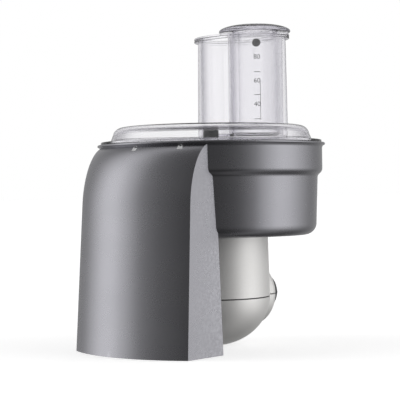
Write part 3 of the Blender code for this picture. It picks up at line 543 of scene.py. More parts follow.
# Cutting set.

def make_grid_holder():
    wall = 0.0025
    holder = ring("grid_holder", 0.009, HOLDER_RADIUS, HOLDER_FOOT, HOLDER_FOOT + HOLDER_THICK, ROUND)
    join(holder, block("grid_frame", (-GRID_HALF_X - wall, GRID_LOW_Y - wall, HOLDER_FOOT + 0.0005),
                       (GRID_HALF_X + wall, GRID_HIGH_Y + wall, GRID_TOP)))
    return cut(holder, block("grid_window", (-GRID_HALF_X, GRID_LOW_Y, HOLDER_FOOT - 0.001),
                             (GRID_HALF_X, GRID_HIGH_Y, GRID_TOP + 0.001)))


def make_dicing_grid():
    low = GRID_TOP - 0.0085
    rim = 0.0012
    half_x = GRID_HALF_X - GAP
    low_y = GRID_LOW_Y + GAP
    high_y = GRID_HIGH_Y - GAP
    grid = block("dicing_grid", (-half_x, low_y, low), (half_x, high_y, GRID_TOP))
    columns = round(2 * half_x / GRID_PITCH)
    rows = round((high_y - low_y) / GRID_PITCH)
    step_x = (2 * half_x - 2 * rim + GRID_BLADE) / columns
    step_y = (high_y - low_y - 2 * rim + GRID_BLADE) / rows
    made = bmesh.new()
    for column in range(columns):
        for row in range(rows):
            x = -half_x + rim + column * step_x
            y = low_y + rim + row * step_y
            size = Vector((step_x - GRID_BLADE, step_y - GRID_BLADE, 0.02))
            centre = Vector((x, y, low - 0.005)) + size / 2
            shape = Matrix.Translation(centre) @ Matrix.Diagonal((*size, 1))
            bmesh.ops.create_cube(made, size=1, matrix=shape)
    return cut(grid, finish("grid_cells", made))


def make_ejector():
    over = WELL_TOP + WALL + EJECTOR_CLEAR
    top = over + EJECTOR_DEEP
    ejector = ring("ejector", SHAFT_RADIUS + GAP, EJECTOR_HUB_RADIUS, over, top)
    start = EJECTOR_HUB_RADIUS - 0.002
    inner = WELL_RADIUS + WALL + EJECTOR_CLEAR
    corner = 0.006
    profile = [(start, over), (inner, over), (inner, EJECTOR_FOOT), (EJECTOR_REACH - corner, EJECTOR_FOOT),
               (EJECTOR_REACH, EJECTOR_FOOT + corner), (EJECTOR_REACH, top), (start, top)]
    arms = []
    for turn in range(EJECTOR_ARMS):
        arm = loft("arm", [[(x, y, z) for x, z in profile] for y in (-ARM_HALF, ARM_HALF)])
        arm.rotation_euler = (0, 0, math.tau * turn / EJECTOR_ARMS + math.radians(90))
        arms.append(arm)
    return join(ejector, *arms)


def make_disc_hub():
    bore = SHAFT_RADIUS + GAP
    sleeve = 0.008
    sleeve_foot = 0.1565
    flange_foot = GRID_TOP + 0.0005
    return turned("disc_hub", [
        (bore, sleeve_foot), (sleeve, sleeve_foot), (sleeve, flange_foot), (DISC_HUB_FLANGE, flange_foot),
        (DISC_HUB_FLANGE, DISC_FOOT - GAP), (DISC_HUB_RADIUS, DISC_FOOT - GAP),
        (DISC_HUB_RADIUS - 0.0003, DISC_HUB_TOP - 0.002), (DISC_HUB_RADIUS - 0.002, DISC_HUB_TOP - 0.0003),
        (0, DISC_HUB_TOP), (0, SPINDLE_TOP + GAP), (bore, SPINDLE_TOP + GAP)], 96)


def make_disc_plate():
    top = DISC_FOOT + DISC_THICK
    plate = ring("disc_plate", DISC_HUB_RADIUS + GAP, DISC_RADIUS, DISC_FOOT, top, ROUND)
    return cut(plate, block("slot", (BLADE_INNER, SLOT_START, DISC_FOOT - OVERCUT),
                            (BLADE_OUTER, SLOT_END, top + OVERCUT)))


def make_blade_bridge():
    """Wedge on the disc that carries the blade and slopes down behind it."""
    low = DISC_FOOT + DISC_THICK + GAP
    front, crest, tail = 0.0015, 0.013, 0.034
    fall = BLADE_FALL / BLADE_CHORD
    lead = BLADE_LEAD_Z - GAP + BLADE_START * fall
    profile = [(front, low), (tail, low), (tail, low + 2 * GAP), (crest, lead - crest * fall),
               (front, lead - front * fall)]
    return along_x("blade_bridge", profile, BLADE_OUTER - 0.002)


def along_x(name, profile, outer):
    """Carry a (y, z) profile along the disc's radius, from the blade's inner end outward."""
    return loft(name, [[(x, y, z) for y, z in profile] for x in (BLADE_INNER, outer)])


def make_blade():
    trail = BLADE_LEAD_Z - BLADE_FALL
    back = BLADE_START + BLADE_CHORD
    blade = along_x("slicing_blade", [(BLADE_START, BLADE_LEAD_Z), (back, trail), (back, trail + BLADE_THICK),
                                      (BLADE_START + 0.0025, BLADE_LEAD_Z + BLADE_THICK / 2)], BLADE_OUTER)
    return cut(blade, *[rod("rivet_hole", RIVET_RADIUS + 0.0004, DISC_FOOT, LID_TOP, 32, (x, RIVET_Y))
                        for x in RIVET_X])


def make_rivets():
    low = BLADE_LEAD_Z - BLADE_FALL / 2
    top = BLADE_LEAD_Z + BLADE_THICK - 0.0001
    for number, x in enumerate(RIVET_X, start=1):
        rod(f"blade_rivet_{number}", RIVET_RADIUS, low, top, 32, (x, RIVET_Y))


# Gearbox.

def boss(radius, end, rounding=0):
    """Horizontal round boss towards +Y at the seam's height, with a rounded end."""
    corner = arc((radius - rounding, end - rounding), rounding, 0, 90, 20) if rounding else [(radius, end)]
    made = turned("boss", [(0, 0), (radius, 0), *corner, (0, end)], 128)
    made.rotation_euler = (math.radians(-90), 0, 0)
    made.location = (0, 0, SEAM_Z)
    return made


def make_housing_upper():
    neck_foot = DRUM_BOTTOM - GAP
    housing = turned("housing_upper", [
        (0, 0), (HOUSING_RADIUS, 0), (HOUSING_RADIUS, SEAM_Z),
        (HOUSING_TOP_RADIUS + 0.0002, neck_foot - 0.0008), (HOUSING_TOP_RADIUS - 0.0006, neck_foot),
        (NECK_RADIUS, neck_foot), (NECK_RADIUS, NECK_TOP - 0.001),
        (NECK_RADIUS - 0.001, NECK_TOP), (0, NECK_TOP)])
    lugs = three_lugs(NECK_RADIUS - OVERCUT, WELL_RADIUS - 2 * GAP, LUG_FOOT, LUG_TOP, 12)
    join(housing, boss(BOSS_RADIUS, BOSS_END, BOSS_ROUND), *lugs)
    wall = HOUSING_RADIUS - WALL
    neck_wall = NECK_RADIUS - WALL
    hollow = turned("upper_hollow", [
        (0, HOUSING_INNER), (wall, HOUSING_INNER), (wall, SEAM_Z), (HOUSING_TOP_RADIUS - WALL, 0.09),
        (neck_wall, 0.093), (neck_wall, NECK_TOP - WALL), (BEARING_RADIUS, NECK_TOP - WALL),
        (BEARING_RADIUS, BEARING_FOOT), (0, BEARING_FOOT)])
    join(hollow, boss(BOSS_RADIUS - WALL, BOSS_END - WALL, BOSS_ROUND - WALL))
    for at in SCREW_POSTS:
        post = Vector(at)
        fin = fin_loops(post, post.normalized() * (HOUSING_RADIUS - WALL / 2), 0.001, 0.065)
        cut(hollow, rod("post", POST_RADIUS, 0, 0.066, at=at), loft("fin", fin))
    spindle_bore = rod("spindle_bore", BUSH_OUTER, BEARING_FOOT - OVERCUT, NECK_TOP + OVERCUT)
    pilots = [rod("pilot", PILOT_RADIUS, -OVERCUT, 0.056, 32, at) for at in SCREW_POSTS]
    below = block("below", (-TRIM, -TRIM, -0.01), (TRIM, TRIM, SEAM_Z + SEAM_HALF + GAP))
    return cut(housing, hollow, boss(HUB_RADIUS + GAP, BOSS_END + OVERCUT), spindle_bore, *pilots, below)


def fin_loops(start, end, low, high):
    """Upright rib from a screw post to the housing wall."""
    along = (end - start).normalized()
    side = Vector((-along.y, along.x)) * 0.0012
    corners = [start + side, start - side, end - side, end + side]
    return [[(corner.x, corner.y, height) for corner in corners] for height in (low, high)]


def bulb(radius, drop, foot, top):
    """Outline of the lower housing: a half ellipsoid with a flat foot, carried straight up past the seam."""
    points = []
    first = math.acos((SEAM_Z - foot) / drop)
    for step in range(41):
        angle = first + (math.pi / 2 - first) * step / 40
        points.append((radius * math.sin(angle), SEAM_Z - drop * math.cos(angle)))
    return [(0, foot)] + points + [(radius, top), (0, top)]


def make_housing_lower():
    housing = turned("housing_lower", bulb(HOUSING_RADIUS, BULB_DROP, 0, 0.08))
    join(housing, boss(BOSS_RADIUS, BOSS_END, BOSS_ROUND))
    hollow = turned("lower_hollow", bulb(HOUSING_RADIUS - WALL, BULB_DROP - WALL, 0.0035, 0.075))
    join(hollow, boss(BOSS_RADIUS - WALL, BOSS_END - WALL, BOSS_ROUND - WALL))
    cut(hollow, *[rod("post", POST_RADIUS + 0.001, 0, 0.078, at=at) for at in SCREW_POSTS])
    wells = [rod("well", SCREW_HEAD_RADIUS + GAP, -OVERCUT, SCREW_SEAT, at=at) for at in SCREW_POSTS]
    holes = [rod("hole", SCREW_CLEAR, SCREW_SEAT - OVERCUT, 0.082, 32, at) for at in SCREW_POSTS]
    above = block("above", (-TRIM, -TRIM, SEAM_Z - SEAM_HALF - GAP), (TRIM, TRIM, 0.09))
    return cut(housing, hollow, boss(HUB_RADIUS + GAP, BOSS_END + OVERCUT), *wells, *holes, above)


def make_gasket():
    gasket = ring("housing_gasket", HOUSING_RADIUS - 0.0026, HOUSING_RADIUS - 0.0006, SEAM_Z - SEAM_HALF,
                  SEAM_Z + SEAM_HALF, ROUND)
    return cut(gasket, block("gap", (-BOSS_RADIUS, 0.02, 0.03), (BOSS_RADIUS, 0.06, 0.06)))


def make_housing_screws():
    seat = SCREW_SEAT - GAP
    head_foot = seat - SCREW_HEAD_HIGH
    tip = 0.001
    outline = [(0, head_foot), (SCREW_HEAD_RADIUS, head_foot), (SCREW_HEAD_RADIUS, seat),
               (SCREW_RADIUS, seat), (SCREW_RADIUS, SEAM_Z - 0.001), (tip, SEAM_Z + 0.002),
               (tip, SCREW_END), (0, SCREW_END)]
    for number, at in enumerate(SCREW_POSTS, start=1):
        turned(f"housing_screw_{number}", outline, SMALL_ROUND).location = (*at, 0)


def make_drive_hub():
    """Flanged spigot that plugs into the mixer, with two bayonet pins; built about its own axis."""
    inner_end = 0.0345
    face = BOSS_END - WALL - GAP
    sleeve = BEARING_RADIUS - 0.0005
    hub = turned("drive_hub", [
        (BUSH_OUTER, inner_end), (sleeve, inner_end), (sleeve, HUB_FLANGE_FOOT),
        (HUB_FLANGE_RADIUS, HUB_FLANGE_FOOT), (HUB_FLANGE_RADIUS, face), (HUB_RADIUS, face),
        (HUB_RADIUS, HUB_END - 0.001), (HUB_RADIUS - 0.001, HUB_END), (BUSH_OUTER, HUB_END)], 96)
    for side in (-1, 1):
        pin = rod("bayonet_pin", PIN_RADIUS, HUB_RADIUS - 0.002, PIN_REACH)
        pin.rotation_euler = (0, math.radians(90 * side), 0)
        pin.location = (0, 0, PIN_PLACE)
        join(hub, pin)
    return hub


def make_input_shaft():
    shaft = rod("input_shaft", SHAFT_RADIUS, 0.015, HUB_END - 0.0012)
    join(shaft, block("square_tail", (-SQUARE_HALF, -SQUARE_HALF, HUB_END - 0.006),
                      (SQUARE_HALF, SQUARE_HALF, SHAFT_END)))
    return cut(shaft, shaft_groove(0.0172))


def bevel_gear(name, teeth, axial, cone_deg, tooth_offset, hub_radius, hub_length):
    """Straight bevel gear whose cone's point is its own origin, with its hub away from that point."""
    root = axial * math.tan(math.radians(cone_deg - DEDENDUM_DEG))
    tip = axial * math.tan(math.radians(cone_deg + ADDENDUM_DEG))
    outer = []
    for tooth in range(teeth):
        for radius, share in ((root, -0.27), (tip, -0.13), (tip, 0.13), (root, 0.27)):
            angle = (tooth + tooth_offset + share) * math.tau / teeth
            outer.append(Vector((radius * math.cos(angle), radius * math.sin(angle), axial)))
    gear = loft(name, [[point * TOOTH_INNER for point in outer], outer])
    join(gear, rod("gear_hub", hub_radius, axial - 0.002, axial + hub_length))
    return cut(gear, rod("gear_bore", SHAFT_RADIUS + GAP, 0, axial + hub_length + 0.01))


def make_spindle():
    return cut(rod("spindle", SHAFT_RADIUS, SPINDLE_FOOT, SPINDLE_TOP), shaft_groove(0.0514))


def shaft_groove(low):
    return ring("groove", SHAFT_RADIUS - GROOVE_DEEP, SHAFT_RADIUS + OVERCUT, low, low + 0.001)


def circlip(name, low):
    clip = ring(name, SHAFT_RADIUS - 0.0003, SHAFT_RADIUS + 0.0022, low, low + 0.0006)
    return cut(clip, block("mouth", (-0.0018, 0, low - 0.001), (0.0018, 0.01, low + 0.002)))


# Materials.

class Graph:
    """Short way to write the nodes of a material or a world."""

    def __init__(self, name, owners=bpy.data.materials, space="Object"):
        self.owner = owners.new(name)
        self.owner.use_nodes = True
        self.nodes = self.owner.node_tree.nodes
        self.links = self.owner.node_tree.links
        self.place = self.nodes.new("ShaderNodeTexCoord").outputs[space]

    def node(self, kind, inputs=None, **settings):
        made = self.nodes.new(kind)
        for key, value in settings.items():
            setattr(made, key, value)
        for key, value in (inputs or {}).items():
            self.feed(made.inputs[key], value)
        return made

    def feed(self, socket, value):
        if isinstance(value, bpy.types.NodeSocket):
            self.links.new(value, socket)
        else:
            socket.default_value = value

    def stretch(self, scale):
        return self.node("ShaderNodeMapping", {"Vector": self.place, "Scale": scale}).outputs[0]

    def noise(self, scale, detail=3.0, rough=0.5, vector=None):
        made = self.node("ShaderNodeTexNoise", {"Vector": vector or self.place, "Scale": scale,
                                                "Detail": detail, "Roughness": rough})
        return made.outputs["Fac"]

    def span(self, value, low, high, low_out, high_out):
        made = self.node("ShaderNodeMapRange", {"Value": value, "From Min": low, "From Max": high,
                                                "To Min": low_out, "To Max": high_out})
        return made.outputs["Result"]

    def cloud(self, scale, detail, rough, low, high, low_out=0.0, high_out=1.0, vector=None):
        """Noise stretched from low..high to another range."""
        return self.span(self.noise(scale, detail, rough, vector), low, high, low_out, high_out)

    def add(self, one, two, three):
        return self.math("ADD", self.math("ADD", one, two), three, True)

    def math(self, operation, one, two, clamp=False):
        return self.node("ShaderNodeMath", {0: one, 1: two}, operation=operation, use_clamp=clamp).outputs[0]

    def blend(self, share, one, two):
        made = self.node("ShaderNodeMix", data_type="RGBA", blend_type="MIX")
        self.feed(made.inputs[0], share)
        self.feed(made.inputs[6], one)
        self.feed(made.inputs[7], two)
        return made.outputs[2]

    def bump(self, height, distance, strength=1.0, under=None):
        inputs = {"Height": height, "Distance": distance, "Strength": strength}
        if under:
            inputs["Normal"] = under
        return self.node("ShaderNodeBump", inputs).outputs[0]

    def edges(self):
        """1 on outer edges, 0 on flat faces."""
        return self.span(self.node("ShaderNodeNewGeometry").outputs["Pointiness"], 0.52, 0.62, 0.0, 1.0)

    def set(self, **values):
        for key, value in values.items():
            self.feed(self.nodes["Principled BSDF"].inputs[key.replace("_", " ")], value)


def rgb(red, green, blue, scale=1.0, lift=0.0, top=1.0):
    return (*[min(top, scale * part + lift) for part in (red, green, blue)], 1.0)


def moulded(name, dark, light, roughness, metallic, grain, grain_deep, wear, flecks=0.0):
    """Moulded or sprayed plastic: fine grain, metal flecks, faint marks of handling and paler edges."""
    graph = Graph(name)
    colour = graph.blend(graph.cloud(14.0, 4.0, 0.55, 0.35, 0.65), rgb(*dark), rgb(*light))
    if flecks:
        cells = graph.node("ShaderNodeTexVoronoi", {"Vector": graph.place, "Scale": 2600.0})
        fleck = graph.span(cells.outputs["Distance"], 0.1, 0.32, flecks, 0.0)
        colour = graph.blend(fleck, colour, rgb(*light, 1.9))
    rim = graph.math("MULTIPLY", graph.edges(), graph.cloud(420.0, 5.0, 0.7, 0.42, 0.6, 0.0, wear), True)
    colour = graph.blend(rim, colour, rgb(*light, 1.7, 0.03))
    wiped = graph.cloud(18.0, 4.0, 0.5, 0.35, 0.7, -0.015, 0.025, graph.stretch((1.0, 1.0, 2.0)))
    rough = graph.add(wiped, graph.cloud(900.0, 2.0, 0.5, 0.3, 0.7, -0.005, 0.005), roughness)
    bent = graph.bump(graph.noise(grain, 2.0), grain_deep)
    waves = graph.bump(graph.noise(26.0, 1.0, 0.4), 0.00002, 0.3, bent)
    graph.set(Base_Color=colour, Roughness=rough, Metallic=metallic, Normal=waves)
    return graph.owner


def clear_moulded(name):
    """Clear moulded plastic with flow waves, dust and wiping marks, and painted shade that darkens its colour
    where it is seen edge-on.
    """
    graph = Graph(name)
    dust = graph.cloud(220.0, 6.0, 0.75, 0.62, 0.8, 0.0, 0.1)
    wipes = graph.cloud(95.0, 4.0, 0.6, 0.5, 0.75, 0.0, 0.05, graph.stretch((1.0, 1.0, 0.12)))
    uneven = graph.cloud(25.0, 3.0, 0.5, 0.3, 0.7)
    tint_and_edge_shade = graph.blend(uneven, rgb(0.992, 0.991, 0.995), rgb(0.998, 0.997, 1.0))
    # Painted shade: the colour turns dark grey-lavender where the surface is seen edge-on, standing in for
    # dark reflections and the longer path through the wall.
    facing = graph.node("ShaderNodeLayerWeight", {"Blend": 0.5}).outputs["Facing"]
    tint_and_edge_shade = graph.blend(graph.math("POWER", facing, 2.3, True), tint_and_edge_shade, rgb(0.2, 0.18, 0.26))
    flow = graph.bump(graph.noise(20.0, 1.0, 0.4), 0.00002, 0.2)
    graph.set(Base_Color=tint_and_edge_shade, Roughness=graph.add(dust, wipes, 0.012), Metallic=0.0, Transmission_Weight=1.0,
              IOR=1.46, Normal=flow)
    murk = graph.node("ShaderNodeVolumeAbsorption", {"Color": rgb(0.3, 0.27, 0.4), "Density": 11.0})
    graph.links.new(murk.outputs[0], graph.nodes["Material Output"].inputs["Volume"])
    return graph.owner


def ground_steel(name, dark, light, roughness, direction, scratch):
    """Ground or turned steel: directional scratches, faint stains and bright edges."""
    graph = Graph(name)
    lines = graph.noise(700.0, 5.0, 0.7, graph.stretch(direction))
    stain = graph.cloud(35.0, 5.0, 0.6, 0.4, 0.7)
    colour = graph.blend(stain, rgb(*light), rgb(*dark))
    colour = graph.blend(graph.span(lines, 0.3, 0.7, 0.0, 0.35), colour, rgb(*dark, 0.7))
    colour = graph.blend(graph.math("MULTIPLY", graph.edges(), 0.6, True), colour, rgb(0.85, 0.85, 0.86))
    stained = graph.math("ADD", graph.span(stain, 0.0, 1.0, 0.0, 0.08), roughness)
    rough = graph.math("ADD", graph.span(lines, 0.3, 0.7, -0.07, 0.09), stained, True)
    graph.set(Base_Color=colour, Roughness=rough, Metallic=1.0, Normal=graph.bump(lines, scratch, 0.8))
    return graph.owner


def sintered(name, dark, light, roughness):
    """Pressed metal powder: open pores and a film of oil in places."""
    graph = Graph(name)
    cells = graph.node("ShaderNodeTexVoronoi", {"Vector": graph.place, "Scale": 2200.0}).outputs["Distance"]
    pores = graph.span(cells, 0.05, 0.3, 0.0, 1.0)
    oil = graph.cloud(120.0, 4.0, 0.6, 0.45, 0.65)
    colour = graph.blend(pores, rgb(*dark, 0.45), graph.blend(oil, rgb(*light), rgb(*dark)))
    rough = graph.span(oil, 0.0, 1.0, roughness + 0.12, roughness - 0.1)
    graph.set(Base_Color=colour, Roughness=rough, Metallic=0.9, Normal=graph.bump(pores, 0.00006, 0.7))
    return graph.owner


def rubbery(name):
    """Black rubber with pale bloom and a fine grain."""
    graph = Graph(name)
    bloom = graph.cloud(70.0, 5.0, 0.65, 0.45, 0.75)
    graph.set(Base_Color=graph.blend(bloom, rgb(0.018, 0.018, 0.019), rgb(0.045, 0.045, 0.046)),
              Roughness=graph.cloud(500.0, 3.0, 0.5, 0.3, 0.7, 0.62, 0.86), Metallic=0.0,
              Normal=graph.bump(graph.noise(2600.0, 2.0), 0.00003, 0.8))
    return graph.owner


def printed(name, colour, shade):
    """Pad-printed ink with thin spots."""
    graph = Graph(name)
    thin = graph.cloud(1500.0, 4.0, 0.7, 0.4, 0.75)
    graph.set(Base_Color=graph.blend(thin, rgb(*colour), rgb(*shade)), Metallic=0.0,
              Roughness=graph.span(thin, 0.0, 1.0, 0.45, 0.62), Normal=graph.bump(thin, 0.00002, 0.6))
    return graph.owner


def make_paints():
    """One material for each of the record's material slots."""
    return {
        "graphite_plastic": moulded("graphite_plastic_look", (0.276, 0.274, 0.295), (0.288, 0.286, 0.307),
                                    0.27, 0.9, 3400.0, 0.0000003, 0.35, 0.006),
        "silver_plastic": moulded("silver_plastic_look", (0.8, 0.79, 0.775), (0.83, 0.82, 0.805),
                                  0.41, 0.46, 2600.0, 0.0000004, 0.25, 0.008),
        "black_plastic": moulded("black_plastic_look", (0.02, 0.02, 0.022), (0.034, 0.034, 0.037),
                                 0.46, 0.0, 1500.0, 0.00005, 0.45),
        "clear_plastic": clear_moulded("clear_plastic_look"),
        "black_rubber": rubbery("black_rubber_look"),
        "steel": ground_steel("steel_look", (0.5, 0.5, 0.51), (0.66, 0.66, 0.67),
                              0.24, (1.0, 0.06, 1.0), 0.00002),
        "gear_steel": sintered("gear_steel_look", (0.2, 0.2, 0.205), (0.36, 0.36, 0.37), 0.42),
        "bronze": sintered("bronze_look", (0.36, 0.23, 0.1), (0.58, 0.4, 0.2), 0.4),
    }


def make_shells():
    """Make every piece again; those of the lying shaft and the crown gear are made about their own axis."""
    make_bowl()
    make_chute()
    make_chute_screws()
    make_grid_holder()
    make_dicing_grid()

    ring("lid_seal", SPIGOT_RADIUS + 2 * GAP, COLLAR_RADIUS - WALL - GAP, 0.17, 0.174, ROUND)
    make_lid()
    make_large_pusher()
    make_small_pusher()
    make_pusher_cap()
    make_pusher_plug()

    make_housing_upper()
    make_housing_lower()
    make_gasket()
    make_housing_screws()
    bush_outer = BUSH_OUTER - GAP
    bush_inner = SHAFT_RADIUS + GAP
    ring("spindle_bush_lower", bush_inner, bush_outer, 0.0725, 0.0825)
    ring("spindle_bush_upper", bush_inner, bush_outer, 0.0905, 0.1005)
    ring("spindle_seal", bush_inner, bush_outer, 0.101, 0.104)

    make_drive_hub()
    ring("hub_bush_inner", bush_inner, bush_outer, 0.035, 0.043)
    ring("hub_bush_outer", bush_inner, bush_outer, 0.0575, 0.0655)
    ring("hub_seal", bush_inner, bush_outer, 0.066, 0.069)
    make_input_shaft()
    pinion_cone = math.degrees(math.atan2(PINION_TEETH, CROWN_TEETH))
    pinion_axial = CONE_LENGTH * math.cos(math.radians(pinion_cone))
    crown_axial = CONE_LENGTH * math.sin(math.radians(pinion_cone))
    bevel_gear("input_pinion", PINION_TEETH, pinion_axial, pinion_cone, 0, 0.009, 0.005)
    ring("shaft_washer", bush_inner, WASHER_RADIUS, 0.0322, 0.0337)
    circlip("shaft_circlip", 0.0174)

    make_spindle()
    bevel_gear("crown_gear", CROWN_TEETH, crown_axial, 90 - pinion_cone, 0.5, 0.012, 0.0085)
    ring("spindle_washer", bush_inner, WASHER_RADIUS, 0.07, 0.0712)
    circlip("spindle_circlip", 0.0516)
    make_ejector()
    make_disc_hub()
    make_disc_plate()
    make_blade_bridge()
    make_blade()
    make_rivets()


# Printed marks.

def relief(name, strips, place, thick, paint):
    """Thin raised print: strips of (left, right) points, laid on a surface by place(u, v, lift)."""
    made = bmesh.new()
    for strip in strips:
        rows = []
        for left, right in strip:
            rows.append([made.verts.new(place(*point, lift)) for point, lift in
                         ((left, 0), (right, 0), (right, thick), (left, thick))])
        for one, two in zip(rows, rows[1:]):
            for side in range(4):
                after = (side + 1) % 4
                made.faces.new([one[side], one[after], two[after], two[side]])
        made.faces.new(rows[0])
        made.faces.new(rows[-1])
    return print_piece(name, made, paint)


def print_piece(name, made, paint):
    bmesh.ops.recalc_face_normals(made, faces=made.faces)
    item = to_object(name, made)
    item.data.materials.append(paint)
    return item


def bar(start, end, half, steps=6):
    """Strip of one width from start to end."""
    one, two = Vector(start), Vector(end)
    side = (two - one).normalized().orthogonal() * half
    points = [one.lerp(two, step / steps) for step in range(steps + 1)]
    return [(point + side, point - side) for point in points]


def bow(centre, radius, half, start, end, steps=14):
    """Strip of one width along an arc, angles in degrees."""
    strip = []
    for step in range(steps + 1):
        angle = math.radians(start + (end - start) * step / steps)
        out = Vector((math.cos(angle), math.sin(angle)))
        strip.append((Vector(centre) + out * (radius + half), Vector(centre) + out * (radius - half)))
    return strip


def padlock(tilt):
    """Strips of a small padlock with its shackle swung up by tilt degrees."""
    shackle = bow((0, 0.0007), 0.00095, 0.00022, 0, 180)
    right = bar((0.00095, 0.0007), (0.00095, 0.0001), 0.00022, 2)
    left = bar((-0.00095, 0.0007), (-0.00095, -0.0002), 0.00022, 2)
    if tilt:
        hinge = Vector((-0.00095, 0.0001))
        turn = Matrix.Rotation(math.radians(tilt), 2)
        shackle, right = [[[hinge + turn @ (point - hinge) for point in pair] for pair in strip]
                          for strip in (shackle, right)]
    body = bar((-0.0015, -0.0009), (0.0015, -0.0009), 0.00105, 8)
    return [body, shackle, right, left]


def hood_slope(height):
    return (hood_radius(height + 1e-5) - hood_radius(height - 1e-5)) / 2e-5


def on_hood(turn, height):
    """Lay flat points on the chute's shoulder round a point at this angle and height."""
    def place(u, v, lift):
        low = height
        for _ in range(WALK_STEPS):
            low += v * MARK_TALL / WALK_STEPS / math.sqrt(1 + hood_slope(low) ** 2)
        slope = hood_slope(low)
        raised = (lift + PRINT_LIFT) / math.sqrt(1 + slope ** 2)
        radius = hood_radius(low) + raised
        angle = turn + u * MARK_WIDE / radius
        return (radius * math.sin(angle), -radius * math.cos(angle), low - slope * raised)
    return place


def on_pusher(turn, height):
    """Lay flat points on the small pusher's outer wall."""
    def place(u, v, lift):
        radius = SMALL_RADIUS + lift + PRINT_LIFT
        angle = turn + u / SMALL_RADIUS
        return (SMALL_X + radius * math.sin(angle), TUBE_Y - radius * math.cos(angle), height + v)
    return place


def make_marks(pale):
    for name, turn, height, tilt in PADLOCKS:
        mark = relief(name, padlock(tilt), on_hood(math.radians(turn), height), PRINT_THICK, pale)
        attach(mark, "bowl_unit")


def make_number(words, centre, turn):
    """Small printed number laid on the small pusher."""
    curve = bpy.data.curves.new("number", "FONT")
    curve.body = words
    curve.size = NUMBER_SIZE
    curve.align_x = "CENTER"
    curve.extrude = PRINT_THICK / 2
    item = bpy.data.objects.new("number", curve)
    bpy.context.scene.collection.objects.link(item)
    made = bmesh.new()
    made.from_mesh(bpy.data.meshes.new_from_object(item.evaluated_get(bpy.context.evaluated_depsgraph_get())))
    bpy.data.objects.remove(item)
    bmesh.ops.remove_doubles(made, verts=made.verts, dist=1e-7)
    place = on_pusher(turn, centre)
    for vert in made.verts:
        vert.co = place(vert.co.x, vert.co.y - NUMBER_SIZE * 0.35, vert.co.z + PRINT_THICK / 2)
    return made


def make_scale(ink):
    turn = math.radians(SCALE_TURN)
    strips = [bar((-0.0025, tick), (SCALE_EDGE, tick), 0.00026, 8) for tick in SCALE_TICKS]
    strips.append(bar((SCALE_EDGE, SCALE_LINE[0]), (SCALE_EDGE, SCALE_LINE[1]), 0.00018, 2))
    printing = [relief("scale_lines", strips, on_pusher(turn, 0), PRINT_THICK, ink)]
    for words, height in SCALE_NUMBERS:
        printing.append(print_piece(f"scale_number_{words}", make_number(words, height, turn), ink))
    for item in printing:
        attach(item, "small_pusher_unit")


# Turning the shells into pieces.

INPUT_AXIS = Matrix.Translation((0, 0, SEAM_Z)) @ Matrix.Rotation(math.radians(-90), 4, "X")
AXIS_OF = {"crown_gear": Matrix.Translation((0, 0, SEAM_Z))}
for lying in ("drive_hub", "hub_bush_inner", "hub_bush_outer", "hub_seal", "input_shaft", "input_pinion",
              "shaft_washer", "shaft_circlip"):
    AXIS_OF[lying] = INPUT_AXIS


def settle_all(paints):
    """Apply each shell's modifiers and place, ride it on its node's body and show it instead of the node."""
    graph = bpy.context.evaluated_depsgraph_get()
    slots = {part["node"]: part["material_slot"] for part in frame["record"]["subparts"]}
    rides = {node: body for body, nodes in frame["record"]["behaviour"]["bodies"].items() for node in nodes}
    settled = []
    for node, item in MADE:
        if node in slots:
            mesh = bpy.data.meshes.new_from_object(item.evaluated_get(graph))
            mesh.transform(AXIS_OF.get(node, Matrix()) @ item.matrix_world)
            settled.append((node, mesh))
    for _, item in MADE:
        bpy.data.objects.remove(item, do_unlink=True)
    for node, mesh in settled:
        clean = bmesh.new()
        clean.from_mesh(mesh)
        bmesh.ops.remove_doubles(clean, verts=clean.verts, dist=2e-6)
        bmesh.ops.dissolve_degenerate(clean, dist=1e-6, edges=clean.edges)
        clean.to_mesh(mesh)
        clean.free()
        mesh.materials.clear()
        mesh.materials.append(paints[slots[node]])
        mesh.shade_smooth()
        mesh.set_sharp_from_angle(angle=math.radians(32))
        shown = bpy.data.objects.new(f"{node}_shell", mesh)
        bpy.context.scene.collection.objects.link(shown)
        step = shown.modifiers.new("normals", "WEIGHTED_NORMAL")
        step.keep_sharp = True
        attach(shown, rides[node])
        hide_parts(node)


# Stage, light and camera.

def white_paint(name, glow, reflect):
    made = bpy.data.materials.new(name)
    made.use_nodes = True
    inputs = made.node_tree.nodes["Principled BSDF"].inputs
    for key, value in (("Base Color", (reflect, reflect, reflect, 1.0)), ("Roughness", 1.0),
                       ("Specular IOR Level", 0.0), ("Emission Color", (1.0, 1.0, 1.0, 1.0)),
                       ("Emission Strength", glow)):
        inputs[key].default_value = value
    return made


def make_stage():
    floor_data = bmesh.new()
    bmesh.ops.create_circle(floor_data, cap_ends=True, segments=96, radius=30.0)
    floor = print_piece("floor", floor_data, white_paint("floor_white", FLOOR_GLOW, 0.8))
    floor.location = (0, 0, -0.0002)
    dome_data = bmesh.new()
    bmesh.ops.create_icosphere(dome_data, subdivisions=4, radius=45.0)
    dome = print_piece("backdrop", dome_data, white_paint("backdrop_white", 1.0, 0.0))
    for item in (floor, dome):
        item.visible_diffuse = False
        item.visible_glossy = False
        item.visible_shadow = False
    floor.visible_transmission = False


